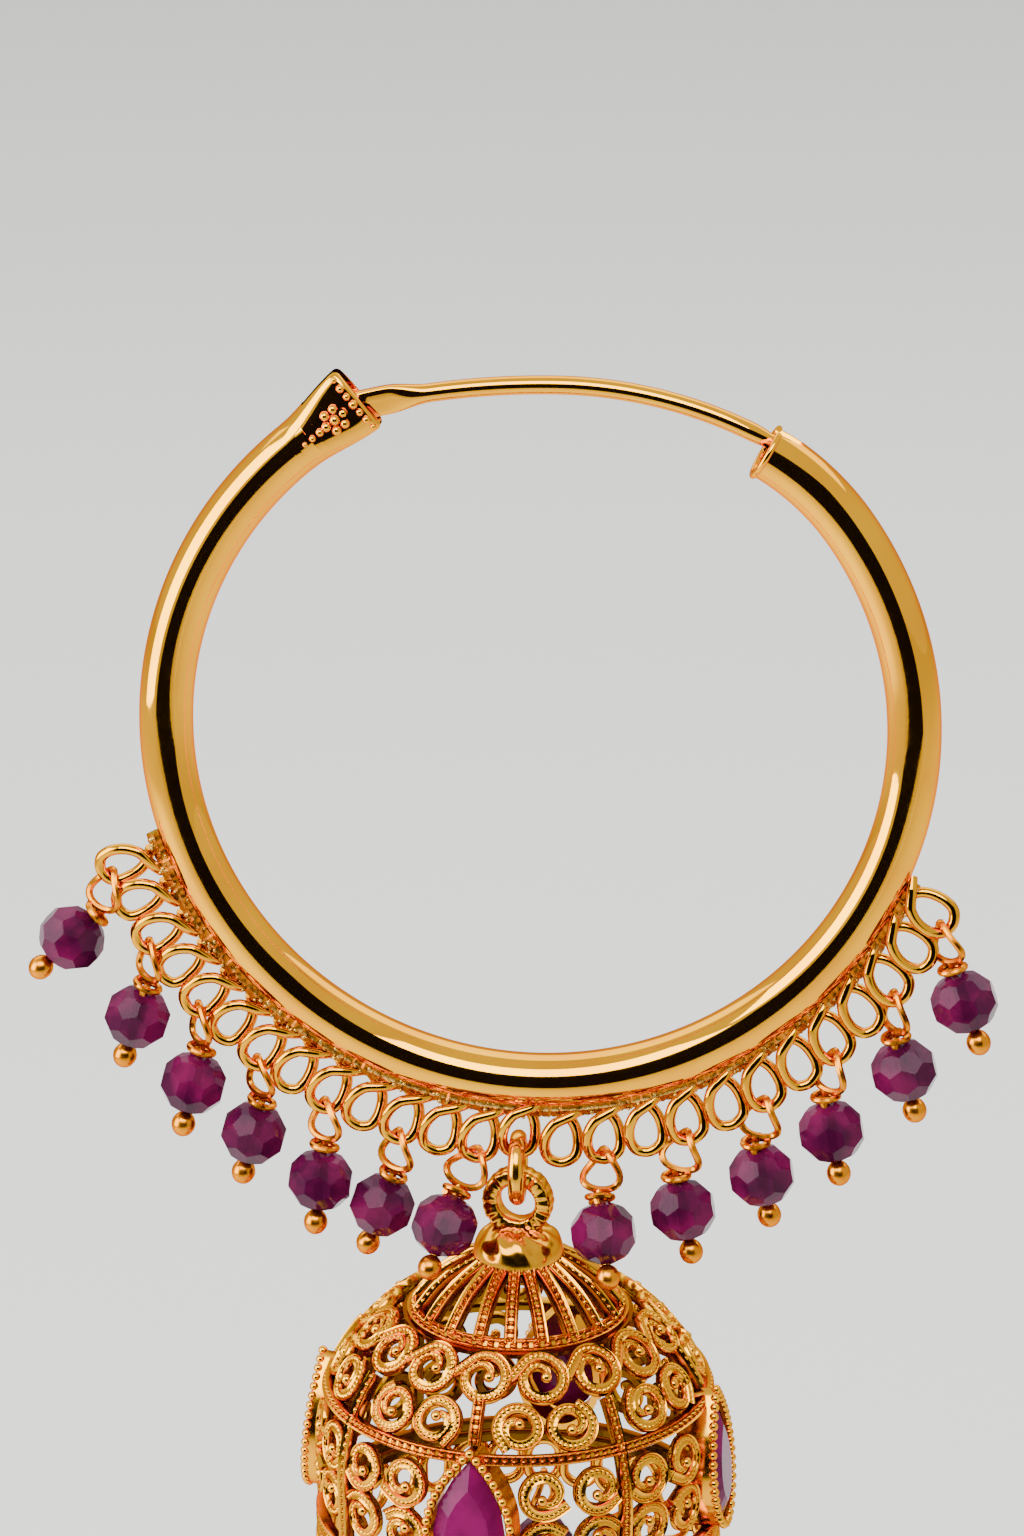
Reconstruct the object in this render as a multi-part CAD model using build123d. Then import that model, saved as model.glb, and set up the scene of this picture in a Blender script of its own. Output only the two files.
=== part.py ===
from build123d import *
import os
from math import acos, cos, degrees, hypot, radians, sin, sqrt

# Hoop earring with a pierced bell (jhumka), hanging as it is worn.
# Millimetres. +Z is up, the hoop lies in the XZ plane and -Y is its front.
# The origin is the underside of the ear wire, where it lies in the ear lobe,
# and the bell hangs plumb below it on the Z axis.
# A clock angle runs from the top of the hoop towards +X.

os.makedirs("parts", exist_ok=True)

# ---- Hoop tube: hollow, open at the top, with a hinge end and a mouth ----
HOOP_X = 1.2                 # centre of the hoop
HOOP_Z = -20.24
HOOP_R = 22.0                # to the tube's centre line
TUBE_R = 1.6
TUBE_WALL = 0.35
STRAIGHT_CLOCK = -40.0       # here the tube leaves the circle for the hinge end
STRAIGHT_LENGTH = 4.95
CRIMP_START = 1.2            # round tube before the flattened hinge end
CRIMP_COLLAR_R = 1.66        # the end is soldered on over the tube
CRIMP_COLLAR_OUT_R = 1.67    # in the hoop's plane
CRIMP_HALF_WIDTH = 2.15
CRIMP_HALF_DEPTH = 1.0
TIGHT_CLOCK = 55.0           # here the bend tightens towards the mouth
TIGHT_R = 15.4
TIGHT_SWEEP = 25.4
NOTCH_WIDTH = 1.1            # catch notch in the outer side of the mouth
NOTCH_LENGTH = 1.5

# ---- Ear wire: two arcs that meet at the crest, on a riveted hinge ----
CREST_X = 2.2
CREST_Z = 0.63
WIRE_R = 0.55
WIRE_TIP_R = 0.45
HINGE_ARC_R = 46.0
HINGE_ARC_SWEEP = 15.6
MOUTH_ARC_R = 26.0
MOUTH_ARC_SWEEP = 27.4
TIP_SWEEP = 30.6             # the thin tip ends inside the mouth
TIP_OVERLAP = 1.0            # degrees of thin tip within the wire's end
EYE_R = 1.0
TAB_THICKNESS = 0.85
TAB_LENGTH = 5.1             # the flat tab narrows into the round wire
TAB_HALF_WIDTH = 0.82
TAB_WIDE_LENGTH = 2.7
TAB_ROOT_HALF_WIDTH = 0.95   # where the tab grows out of the eye
ROUND_WIRE_FROM = 2.8        # the round wire stays clear of the hinge slot
SLOT_WIDTH = 0.95
SLOT_BACK = 1.6              # behind the pin
PIN_R = 0.4
PIN_LENGTH = 2.6
FIT_GAP = 0.04               # radial play of the hinge pin

# ---- Lace: wire loops soldered side by side under the hoop ----
LOOP_WIRE_R = 0.325
LOOP_WIRE_SIDES = 8
LOOP_HALF_WIDTH = 1.025      # to the wire's centre line
LOOP_HALF_STRAIGHT = 0.4
LOOP_TILT = 10.0
LACE_R = 25.95               # from the hoop's centre to the middle of a loop
LACE_SKEW = 0.35             # the lace stands further out on the left
CENTRE_LOOP_R = 25.42        # the loop that carries the bell stands higher
CENTRE_LOOP_ANGLE = -2.6     # angles of the lace run from straight down to +X
LOOP_STEP_LEFT = 5.2
LOOP_STEP_RIGHT = 5.62
LOOPS_LEFT = 13
LOOPS_RIGHT = 12
STRIP_R_IN = 23.4
STRIP_R_OUT = 24.7
STRIP_HALF_DEPTH = 0.45
STRIP_OVERHANG = 3.0         # degrees of strip past the end loops

# ---- Drops: a pin with a loop at its head, a faceted bead and a ball ----
PIN_WIRE_R = 0.225
PIN_WIRE_SIDES = 8
PIN_LOOP_R = 1.25
HANG_GAP = 0.06              # between a pin's loop and the wire it hangs on
WRAP_R = 0.62                # the turns of wire below the loop, taken as a barrel
WRAP_LENGTH = 0.6
WRAP_DROP = 0.38             # from the bottom of the pin's loop to its wrap
BEAD_DROP = 2.24             # from the wrap to the bead's centre
BALL_DROP = 2.68             # from the bead's centre to the ball's
BALL_R = 0.7
BEAD_R = 1.95
BEAD_HOLE_R = 0.32
BEAD_SIDES = 8
BEAD_FACET_R = 1.86          # from the bead's centre to a facet
BEAD_ROWS = [
    # latitude, stagger (a share of the step between facets)
    (0, 0),
    (36, 0.5),
    (-36, 0.5),
    (66, 0),
    (-66, 0),
]

# lace loop (negative is left of the centre), lean of the pin's loop, lean of
# its shank, forward tilt and turn of its loop out of the hoop's plane, degrees
DROPS = [
    # loop, loop_lean, shank_lean, forward, turn
    (-13, -20.0, -45.0, 2.0, -62.0),
    (-11, -4.0, -18.0, -3.0, -70.0),
    (-9, 3.0, -13.5, 3.0, -72.0),
    (-7, 4.0, -14.5, -3.0, -66.0),
    (-5, -1.5, -6.5, 4.0, -62.0),
    (-3, -8.5, -19.0, -3.0, -66.0),
    (-1, -24.0, -17.0, 30.0, -58.0),
    (2, -3.0, 7.5, 30.0, -58.0),
    (4, -14.0, 11.5, 3.0, -66.0),
    (6, -12.5, 10.5, -3.0, -58.0),
    (8, -11.5, 10.5, 3.0, -70.0),
    (10, 2.0, 14.5, -3.0, -72.0),
    (12, 15.0, 20.0, 2.0, -70.0),
]
HANG_SHARE = 0.5             # a loop at angle a is hung at half of a

# ---- Jump link and bell ----
LINK_R = 1.8
LINK_WIRE_R = 0.5
BELL_PLAY = 0.32             # the ring's middle hangs this far below the wire
RING_R = 2.18
RING_HOLE_R = 1.1
RING_DEPTH = 1.4
BELL_TURN = -9.5             # the first stone stands left of the front

# levels below the middle of the bell's ring, with the radius at each
NECK_DROP, NECK_R = 1.8, 1.75
CAP_DROP, CAP_R = 3.55, 2.75
CAP_HALF_LIP = 0.2
CAP_FOOT_DROP, CAP_FOOT_R = 4.4, 1.5
SHOULDER_DROP, SHOULDER_R = 2.6, 2.35
CROWN_DROP, CROWN_R = 6.85, 6.15
WIDEST_DROP, WIDEST_R = 15.6, 12.1
DOME_HEIGHT = 11.1           # half height of the dome's ellipse
RIM_DROP, RIM_R = 21.2, 11.95
WALL = 0.9
CROWN_TOP_R = 2.6            # the ribs start within the cap
CROWN_BULGE = 0.38
RIB_COUNT = 20
RIB_WIDTH = 0.85
CROWN_RING_R = 0.45
DOME_TOP_DROP = 6.55         # a flat shoulder carries the crown ring
BAND_DROP = 11.9
BAND_SECTION_R = 0.4
RIM_BAND_HEIGHT = 0.9
RELIEF = 0.35                # cast ribs and scrolls stand this proud
UPRIGHT_WIDTH = 0.8
LONG_UPRIGHT_DROP = 9.2      # top of the uprights midway between stones
SHORT_UPRIGHT_DROP = 8.9     # top of the short uprights above the stones

# scrolls, repeated four times round the bell: level, outer radius, hole radius
# and the angles from a stone's axis
SCROLLS = [
    # drop, outer_r, hole_r, angles
    (7.9, 1.45, 0.88, (0.0, 22.5, 45.0, 67.5)),
    (10.2, 1.32, 0.8, (13.3, 31.0, 59.0, 76.7)),
    (14.0, 1.4, 0.85, (21.0, 37.0, 53.0, 69.0)),
    (17.1, 1.4, 0.85, (21.0, 37.0, 53.0, 69.0)),
]

# ---- Stones: pear shapes in raised bezels, four round the bell ----
STONE_COUNT = 4
STONE_HALF_WIDTH = 2.2
STONE_POINT = 4.6            # from the widest place up to the point
STONE_HEEL = 3.2             # and down to the round end
POINT_GROWTH = 1.4           # a margin reaches further at the point
STONE_DROP = 16.3            # level of the widest place
STONE_FACE_R = 12.75
STONE_LEAN = 5.0
STONE_SIDES = 16
BEZEL_WALL = 0.5
BEZEL_DEPTH = 2.5
SEAT_GAP = 0.05
SEAT_DEPTH = 1.55
STONE_SUNK = 0.2             # girdle below the edge of the bezel
STONE_GIRDLE = 0.15
STONE_CROWN = 0.5
STONE_PAVILION = 1.1
TABLE_SHARE = 0.62
KEEL_SHARE = 0.35
BACK_SHARE = 0.7

# ---- Rim of the bell: loops all round, a drop on every second one ----
RIM_LOOPS = 32
RIM_LACE_R = 11.9
RIM_LOOP_DROP = 22.75        # middle of a loop below the bell's ring
RIM_DROPS = 16


# ---- Places ----

def on_hoop(radius, clock):
    """A point in the hoop's plane, by radius and clock angle."""
    angle = radians(clock)
    return Vector(HOOP_X + radius * sin(angle), 0, HOOP_Z + radius * cos(angle))


def lean_direction(lean, forward):
    """A hanging direction: lean towards +X and tilt forward of straight down."""
    side = sin(radians(lean))
    front = -sin(radians(forward))
    return Vector(side, front, -sqrt(1 - side * side - front * front))


HOOP_CENTRE = on_hoop(0, 0)
LINK_PIVOT_Z = HOOP_Z - (CENTRE_LOOP_R + LOOP_HALF_STRAIGHT + LOOP_HALF_WIDTH) * cos(
    radians(CENTRE_LOOP_ANGLE)
)
LINK_Z = LINK_PIVOT_Z - (LINK_R - LINK_WIRE_R - LOOP_WIRE_R - HANG_GAP)
BELL_PIVOT_Z = LINK_Z - LINK_R
BELL_Z = BELL_PIVOT_Z - BELL_PLAY


# ---- Hoop ----

def tube_arc(section, centre, radius, start, sweep):
    """A section carried round a centre in the XZ plane from a clock angle."""
    angle = radians(start)
    place = Plane(
        origin=centre + Vector(radius * sin(angle), 0, radius * cos(angle)),
        x_dir=(sin(angle), 0, cos(angle)),
        z_dir=(cos(angle), 0, -sin(angle)),
    )
    return revolve(place * section, axis=Axis(centre, (0, 1, 0)), revolution_arc=sweep)


straight_angle = radians(-STRAIGHT_CLOCK)
ALONG = Vector(cos(straight_angle), 0, sin(straight_angle))     # towards the hinge end
ACROSS = Vector(-sin(straight_angle), 0, cos(straight_angle))   # out of the hoop
straight_start = on_hoop(HOOP_R, STRAIGHT_CLOCK)
hinge_end = straight_start + ALONG * STRAIGHT_LENGTH

tight_centre = on_hoop(HOOP_R - TIGHT_R, TIGHT_CLOCK)
mouth_clock = TIGHT_CLOCK - TIGHT_SWEEP
mouth_out = Vector(sin(radians(mouth_clock)), 0, cos(radians(mouth_clock)))
mouth_in = Vector(cos(radians(mouth_clock)), 0, -sin(radians(mouth_clock)))
mouth = tight_centre + mouth_out * TIGHT_R

CREST = Vector(CREST_X, 0, CREST_Z)
hinge_arc_centre = CREST - Vector(0, 0, HINGE_ARC_R)
PIVOT = hinge_arc_centre + Vector(
    -HINGE_ARC_R * sin(radians(HINGE_ARC_SWEEP)), 0, HINGE_ARC_R * cos(radians(HINGE_ARC_SWEEP))
)


def loop_angle(number):
    """Angle of a lace loop from straight down, by its number from the centre."""
    step = LOOP_STEP_LEFT if number < 0 else LOOP_STEP_RIGHT
    return CENTRE_LOOP_ANGLE + number * step


def loop_centre(number):
    """Middle of a lace loop."""
    if number == 0:
        return on_hoop(CENTRE_LOOP_R, 180 - CENTRE_LOOP_ANGLE)
    angle = loop_angle(number)
    return on_hoop(LACE_R - LACE_SKEW * sin(radians(angle)), 180 - angle)


def lace_loop():
    """One long loop of wire in the XZ plane, its long way along Z."""
    wire = RegularPolygon(LOOP_WIRE_R, LOOP_WIRE_SIDES)
    side = Plane(origin=(LOOP_HALF_WIDTH, 0, -LOOP_HALF_STRAIGHT), z_dir=(0, 0, 1)) * wire
    leg = extrude(side, 2 * LOOP_HALF_STRAIGHT)
    low = Vector(0, 0, -LOOP_HALF_STRAIGHT)
    bend = tube_arc(wire, low, LOOP_HALF_WIDTH, 90, 180)
    half = leg + bend
    return half + Rot(0, 180, 0) * half


def hoop_solid():
    """The tube with its flattened hinge end, and the lace soldered below it."""
    annulus = Circle(TUBE_R) - Circle(TUBE_R - TUBE_WALL)
    body = tube_arc(annulus, HOOP_CENTRE, HOOP_R, TIGHT_CLOCK, 360 + STRAIGHT_CLOCK - TIGHT_CLOCK)
    body += tube_arc(annulus, tight_centre, TIGHT_R, mouth_clock, TIGHT_SWEEP)
    start = Plane(origin=straight_start, x_dir=ACROSS, z_dir=ALONG)
    body += extrude(start * annulus, CRIMP_START)
    crimp_start = Plane(origin=straight_start + ALONG * CRIMP_START, x_dir=ACROSS, z_dir=ALONG)
    crimp_end = Plane(origin=hinge_end, x_dir=ACROSS, z_dir=ALONG)
    body += loft([
        (crimp_start * Ellipse(CRIMP_COLLAR_OUT_R, CRIMP_COLLAR_R)).face(),
        (crimp_end * Ellipse(CRIMP_HALF_WIDTH, CRIMP_HALF_DEPTH)).face(),
    ])
    strip = Pos(0.5 * (STRIP_R_IN + STRIP_R_OUT) - HOOP_R, 0) * Rectangle(
        STRIP_R_OUT - STRIP_R_IN, 2 * STRIP_HALF_DEPTH
    )
    first = loop_angle(LOOPS_RIGHT)
    last = loop_angle(-LOOPS_LEFT)
    strip_sweep = first - last + 2 * STRIP_OVERHANG
    body += tube_arc(strip, HOOP_CENTRE, HOOP_R, 180 - first - STRIP_OVERHANG, strip_sweep)
    loop = lace_loop()
    loops = []
    for number in range(-LOOPS_LEFT, LOOPS_RIGHT + 1):
        turn = Rot(0, -loop_angle(number), 0) * Rot(0, 0, LOOP_TILT)
        loops.append(Pos(loop_centre(number)) * turn * loop)
    body += loops
    # hinge slot, pin hole and the catch notch of the mouth
    pin_back = (hinge_end - PIVOT).dot(ALONG) + SLOT_BACK
    slot = Plane(origin=hinge_end, x_dir=ACROSS, z_dir=ALONG) * Box(
        4 * CRIMP_HALF_WIDTH, SLOT_WIDTH, 2 * pin_back
    )
    hole = Plane(origin=PIVOT, z_dir=(0, 1, 0)) * Cylinder(PIN_R + FIT_GAP, 4 * TUBE_R)
    notch = Plane(origin=mouth + mouth_out * TUBE_R, x_dir=mouth_out, z_dir=mouth_in) * Box(
        2 * TUBE_R, NOTCH_WIDTH, 2 * NOTCH_LENGTH
    )
    return body - slot - hole - notch


def ear_wire_solid():
    """The hinged wire: an eye and flat tab, the two arcs and a thin tip."""
    eye = Plane(origin=PIVOT, z_dir=(0, 1, 0)) * Cylinder(EYE_R, TAB_THICKNESS)
    start = degrees(ROUND_WIRE_FROM / HINGE_ARC_R)
    tab_end_clock = degrees(TAB_LENGTH / HINGE_ARC_R) - HINGE_ARC_SWEEP
    tab_end = hinge_arc_centre + Vector(
        HINGE_ARC_R * sin(radians(tab_end_clock)), 0, HINGE_ARC_R * cos(radians(tab_end_clock))
    )
    along = (tab_end - PIVOT).normalized()
    tab_plane = Plane(origin=PIVOT, x_dir=along, z_dir=(0, -1, 0))
    outline = Polygon(
        (0, TAB_ROOT_HALF_WIDTH),
        (TAB_WIDE_LENGTH, TAB_HALF_WIDTH),
        (TAB_LENGTH, WIRE_R),
        (TAB_LENGTH, -WIRE_R),
        (TAB_WIDE_LENGTH, -TAB_HALF_WIDTH),
        (0, -TAB_ROOT_HALF_WIDTH),
        align=None,
    )
    tab = extrude(tab_plane * outline, TAB_THICKNESS / 2, both=True)
    wire = Circle(WIRE_R)
    back = tube_arc(wire, hinge_arc_centre, HINGE_ARC_R, start - HINGE_ARC_SWEEP, HINGE_ARC_SWEEP - start)
    mouth_arc_centre = CREST - Vector(0, 0, MOUTH_ARC_R)
    front = tube_arc(wire, mouth_arc_centre, MOUTH_ARC_R, 0, MOUTH_ARC_SWEEP)
    tip_start = MOUTH_ARC_SWEEP - TIP_OVERLAP
    tip = tube_arc(Circle(WIRE_TIP_R), mouth_arc_centre, MOUTH_ARC_R, tip_start, TIP_SWEEP - tip_start)
    pin_hole = Plane(origin=PIVOT, z_dir=(0, 1, 0)) * Cylinder(PIN_R + FIT_GAP, 4 * TUBE_R)
    return eye + tab + back + front + tip - pin_hole


# ---- Drops ----

HANG_TOP = LOOP_WIRE_R + PIN_WIRE_R + HANG_GAP       # pin's loop above the wire's middle


def bead_solid():
    """A drilled round bead cut with rows of flat facets, its hole along Z."""
    bead = Sphere(1.2 * BEAD_R)
    step = 360 / BEAD_SIDES
    for latitude, stagger in BEAD_ROWS:
        for side in range(BEAD_SIDES):
            azimuth = radians((side + stagger) * step)
            level = cos(radians(latitude))
            out = Vector(level * cos(azimuth), level * sin(azimuth), sin(radians(latitude)))
            bead = split(bead, bisect_by=Plane(origin=out * BEAD_FACET_R, z_dir=out), keep=Keep.BOTTOM)
    for end in (1, -1):
        bead = split(bead, bisect_by=Plane(origin=(0, 0, end * BEAD_R), z_dir=(0, 0, end)), keep=Keep.BOTTOM)
    return bead - Cylinder(BEAD_HOLE_R, 4 * BEAD_R)


def aim(start, direction):
    """A frame at a point whose -Z runs along a hanging direction."""
    side = Vector(0, 1, 0).cross(-direction).normalized()
    return Plane(origin=start, x_dir=side, z_dir=-direction)


def wrap_place(top, loop_way):
    """Middle of a pin's wrap, from the top of its loop."""
    return top + loop_way * (2 * PIN_LOOP_R + WRAP_DROP)


def drop_pin(top, loop_way, shank_way, turn):
    """A whole pin: loop, wrap, shank and ball, as one piece of metal."""
    shank_frame = aim(wrap_place(top, loop_way), shank_way)
    length = BEAD_DROP + BALL_DROP
    section = RegularPolygon(PIN_WIRE_R, PIN_WIRE_SIDES)
    ring = tube_arc(section, Vector(0, 0, -PIN_LOOP_R), PIN_LOOP_R, 0, 360)
    loop = aim(top, loop_way) * (Rot(0, 0, turn) * ring)
    wrap = shank_frame * Cylinder(WRAP_R, WRAP_LENGTH)
    shank = shank_frame * (Pos(0, 0, -length / 2) * Cylinder(PIN_WIRE_R, length))
    ball = shank_frame * (Pos(0, 0, -length) * Rot(0, 90, 0) * Sphere(BALL_R))
    return wrap + shank + ball + loop


def drop_bead(bead, top, loop_way, shank_way):
    """The bead of a drop, threaded on its pin."""
    return aim(wrap_place(top, loop_way), shank_way) * (Pos(0, 0, -BEAD_DROP) * bead)


def loop_top(number, loop_way, turn):
    """Top of the pin's loop that hangs on a lace loop, on its centre line."""
    angle = loop_angle(number)
    out = on_hoop(1, 180 - angle) - HOOP_CENTRE
    down = on_hoop(1, 180 - HANG_SHARE * angle) - HOOP_CENTRE
    wire = loop_centre(number) + out * LOOP_HALF_STRAIGHT + down * LOOP_HALF_WIDTH
    skew = radians(LOOP_TILT)
    along_lace = Vector(-down.Z * cos(skew), sin(skew), down.X * cos(skew))
    frame = aim(Vector(0, 0, 0), loop_way)
    along_pin = frame.x_dir * cos(radians(turn)) + frame.y_dir * sin(radians(turn))
    rise = along_lace.cross(along_pin).normalized()
    return wire + rise * (HANG_TOP if rise.Z > 0 else -HANG_TOP)


# ---- Bell, in its own frame: ring's middle at the origin, first stone at -Y ----

def dome_radius(drop):
    """Outer radius of the dome at a level above its widest place."""
    return WIDEST_R * sqrt(1 - ((WIDEST_DROP - drop) / DOME_HEIGHT) ** 2)


def dome_face(grow, top, bottom):
    """Half section of the dome, grown by a margin, between two levels."""
    a = WIDEST_R + grow
    b = DOME_HEIGHT + grow
    high = WIDEST_DROP - top
    top_angle = 90 - degrees(acos(high / b))
    top_r = a * cos(radians(top_angle))
    rim_r = a if bottom <= WIDEST_DROP else RIM_R + grow
    arc = EllipticalCenterArc((0, -WIDEST_DROP), a, b, start_angle=0, arc_size=top_angle)
    outline = [
        arc,
        Line((a, -WIDEST_DROP), (rim_r, -bottom)),
        Line((rim_r, -bottom), (0, -bottom)),
        Line((0, -bottom), (0, -top)),
        Line((0, -top), (top_r, -top)),
    ]
    return Plane.XZ * make_face(outline)


def dome_body(grow, top, bottom):
    """The dome turned from its half section."""
    return revolve(dome_face(grow, top, bottom), axis=Axis.Z)


def turned(points):
    """A solid turned from corner points of radius and level."""
    return revolve(Plane.XZ * make_face(Polyline(*points, close=True)), axis=Axis.Z)


def ring_section(radius, drop, section_r):
    """Eight corners of a ring's section, for turning."""
    turns = [radians(45 * number + 22.5) for number in range(8)]
    return [(radius + section_r * cos(turn), section_r * sin(turn) - drop) for turn in turns]


def crown_shell():
    """The wall of the crown, between the cap and the crown ring."""
    top = Vector(CROWN_TOP_R, -CAP_DROP)
    foot = Vector(CROWN_R, -CROWN_DROP)
    chord = foot - top
    out = Vector(-chord.Y, chord.X).normalized()
    middle = (top + foot) * 0.5 + out * CROWN_BULGE
    inner = [point - out * WALL for point in (top, middle, foot)]
    face = make_face([
        ThreePointArc(top, middle, foot),
        Line(foot, inner[2]),
        ThreePointArc(inner[2], inner[1], inner[0]),
        Line(inner[0], top),
    ])
    return revolve(Plane.XZ * face, axis=Axis.Z)


def bars(count, first, width, length):
    """Flat upright bars through the axis: count spokes from a first angle."""
    return [
        Rot(0, 0, first + number * 360 / count) * Pos(0, -length / 2, -RIM_DROP / 2)
        * Box(width, length, 2 * RIM_DROP)
        for number in range(count)
    ]


def outward(azimuth, radius, drop, rise):
    """A frame on the bell whose +Z points out, by azimuth from -Y and rise."""
    turn = radians(azimuth)
    flat = Vector(sin(turn), -cos(turn), 0)
    out = flat * cos(radians(rise)) + Vector(0, 0, sin(radians(rise)))
    return Plane(origin=flat * radius + Vector(0, 0, -drop), x_dir=(cos(turn), sin(turn), 0), z_dir=out)


def dome_rise(drop):
    """Angle by which the dome's outward normal points above the level."""
    radius = dome_radius(drop) if drop < WIDEST_DROP else WIDEST_R
    across = radius / WIDEST_R**2
    up = max(WIDEST_DROP - drop, 0) / DOME_HEIGHT**2
    return 90 - degrees(acos(up / hypot(across, up)))


def scroll_frames():
    """Frame and radii of each pierced scroll of the dome."""
    frames = []
    for drop, outer_r, hole_r, angles in SCROLLS:
        radius = dome_radius(drop) if drop < WIDEST_DROP else WIDEST_R
        for quarter in range(STONE_COUNT):
            for angle in angles:
                azimuth = angle + quarter * 360 / STONE_COUNT
                frames.append((outward(azimuth, radius, drop, dome_rise(drop)), outer_r, hole_r))
    return frames


def pear_points(grow):
    """Corners of the pear outline, point up, with a margin all round."""
    corners = []
    for number in range(STONE_SIDES):
        turn = radians(90 + number * 360 / STONE_SIDES)
        height = sin(turn)
        if height > 0:
            y = (STONE_POINT + POINT_GROWTH * grow) * height
            x = (STONE_HALF_WIDTH + grow) * (1 - height**2)
            x = x if cos(turn) > 0 else -x
        else:
            y = (STONE_HEEL + grow) * height
            x = (STONE_HALF_WIDTH + grow) * cos(turn)
        corners.append((x, y))
    return corners


def bezel_parts():
    """A raised pear collar and the pocket cut down into it for the stone."""
    collar = extrude(Polygon(*pear_points(BEZEL_WALL), align=None), -BEZEL_DEPTH)
    pocket = extrude(Polygon(*pear_points(SEAT_GAP), align=None), SEAT_DEPTH, both=True)
    back = [(x * BACK_SHARE, y * BACK_SHARE) for x, y in pear_points(0)]
    window = extrude(Polygon(*back, align=None), 2 * BEZEL_DEPTH, both=True)
    return collar, pocket + window


def stone_solid():
    """A faceted pear stone: table, crown facets, girdle and pavilion."""
    base = pear_points(0)
    levels = [
        (TABLE_SHARE, STONE_CROWN),
        (1.0, 0.0),
        (1.0, -STONE_GIRDLE),
        (KEEL_SHARE, -STONE_GIRDLE - STONE_PAVILION),
    ]
    return ConvexPolyhedron([(x * share, y * share, z) for share, z in levels for x, y in base])


def stone_frame(number):
    """Frame of a stone's girdle on the bell, +Y of the frame towards its point."""
    return outward(number * 360 / STONE_COUNT, STONE_FACE_R, STONE_DROP, STONE_LEAN)


def bell_solid():
    """Ring, cap, ribbed crown, pierced dome, bezels and the rim's lace."""
    ring = Rot(90, 0, 0) * Cylinder(RING_R, RING_DEPTH)
    cap = turned([
        (0, -NECK_DROP), (NECK_R, -NECK_DROP), (SHOULDER_R, -SHOULDER_DROP),
        (CAP_R, -CAP_DROP + CAP_HALF_LIP), (CAP_R, -CAP_DROP - CAP_HALF_LIP),
        (CAP_FOOT_R, -CAP_FOOT_DROP), (0, -CAP_FOOT_DROP),
    ])
    ribs = crown_shell() & (Part() + bars(RIB_COUNT, 180 / RIB_COUNT, RIB_WIDTH, 2 * CROWN_R))
    crown_ring = turned(ring_section(CROWN_R, CROWN_DROP, CROWN_RING_R))
    dome = dome_body(0, DOME_TOP_DROP, RIM_DROP)
    relief = dome_body(RELIEF, CROWN_DROP + CROWN_RING_R, RIM_DROP)
    reach = 2 * WIDEST_R
    below = Pos(0, 0, -LONG_UPRIGHT_DROP - RIM_DROP) * Box(2 * reach, 2 * reach, 2 * RIM_DROP)
    short_middle = (SHORT_UPRIGHT_DROP + BAND_DROP) / 2
    short_below = Pos(0, 0, -short_middle) * Box(2 * reach, 2 * reach, BAND_DROP - SHORT_UPRIGHT_DROP)
    half_panel = 180 / STONE_COUNT
    uprights = relief & (Part() + bars(STONE_COUNT, half_panel, UPRIGHT_WIDTH, reach)) & below
    short_uprights = relief & (Part() + bars(STONE_COUNT, 0, UPRIGHT_WIDTH, reach)) & short_below
    band = turned(ring_section(dome_radius(BAND_DROP), BAND_DROP, BAND_SECTION_R))
    rim_band = turned([
        (RIM_R - WALL, -RIM_DROP + RIM_BAND_HEIGHT), (RIM_R + RELIEF, -RIM_DROP + RIM_BAND_HEIGHT),
        (RIM_R + RELIEF, -RIM_DROP), (RIM_R - WALL, -RIM_DROP),
    ])
    frames = scroll_frames()
    bosses = [frame * Cylinder(outer_r, 2 * RELIEF) for frame, outer_r, hole_r in frames]
    collar, pocket = bezel_parts()
    collars = [stone_frame(number) * collar for number in range(STONE_COUNT)]
    pockets = [stone_frame(number) * pocket for number in range(STONE_COUNT)]
    hollow = dome_body(-WALL, DOME_TOP_DROP + WALL, 2 * RIM_DROP)
    shell = dome + bosses + [uprights, short_uprights, band] - hollow
    holes = [frame * Cylinder(hole_r, 4 * WALL) for frame, outer_r, hole_r in frames]
    top_hole = Pos(0, 0, -CROWN_DROP) * Cylinder(CROWN_R - WALL, 3 * WALL)
    shell = shell - holes - top_hole + collars - pockets
    loop = lace_loop()
    lace = [
        Rot(0, 0, (number + 0.5) * 360 / RIM_LOOPS) * Pos(0, -RIM_LACE_R, -RIM_LOOP_DROP)
        * Rot(0, 0, LOOP_TILT) * loop
        for number in range(RIM_LOOPS)
    ]
    bell = shell + [rim_band, crown_ring, ribs, cap, ring] + lace
    return bell - Rot(90, 0, 0) * Cylinder(RING_HOLE_R, 2 * RING_R)


BELL_PLACE = Pos(0, 0, BELL_Z) * Rot(0, 0, BELL_TURN)


# ---- Write each piece to its own file ----

def write(name, shape):
    """Write one node."""
    export_step(shape, f"parts/{name}.step")


write("hoop", hoop_solid())
write("ear_wire", ear_wire_solid())
write("hinge_pin", Plane(origin=PIVOT, z_dir=(0, 1, 0)) * Cylinder(PIN_R, PIN_LENGTH))

link_x = loop_centre(0).X + (LOOP_HALF_STRAIGHT + LOOP_HALF_WIDTH) * sin(radians(CENTRE_LOOP_ANGLE))
write("jump_link", Pos(link_x, 0, LINK_Z) * Rot(0, 90, 0) * Torus(LINK_R, LINK_WIRE_R))

bead = bead_solid()
for number, (loop_number, loop_lean, shank_lean, forward, turn) in enumerate(DROPS, start=1):
    loop_way = lean_direction(loop_lean, forward)
    top = loop_top(loop_number, loop_way, turn)
    shank_way = lean_direction(shank_lean, forward)
    write(f"drop_pin_{number}", drop_pin(top, loop_way, shank_way, turn))
    write(f"drop_bead_{number}", drop_bead(bead, top, loop_way, shank_way))

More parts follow.
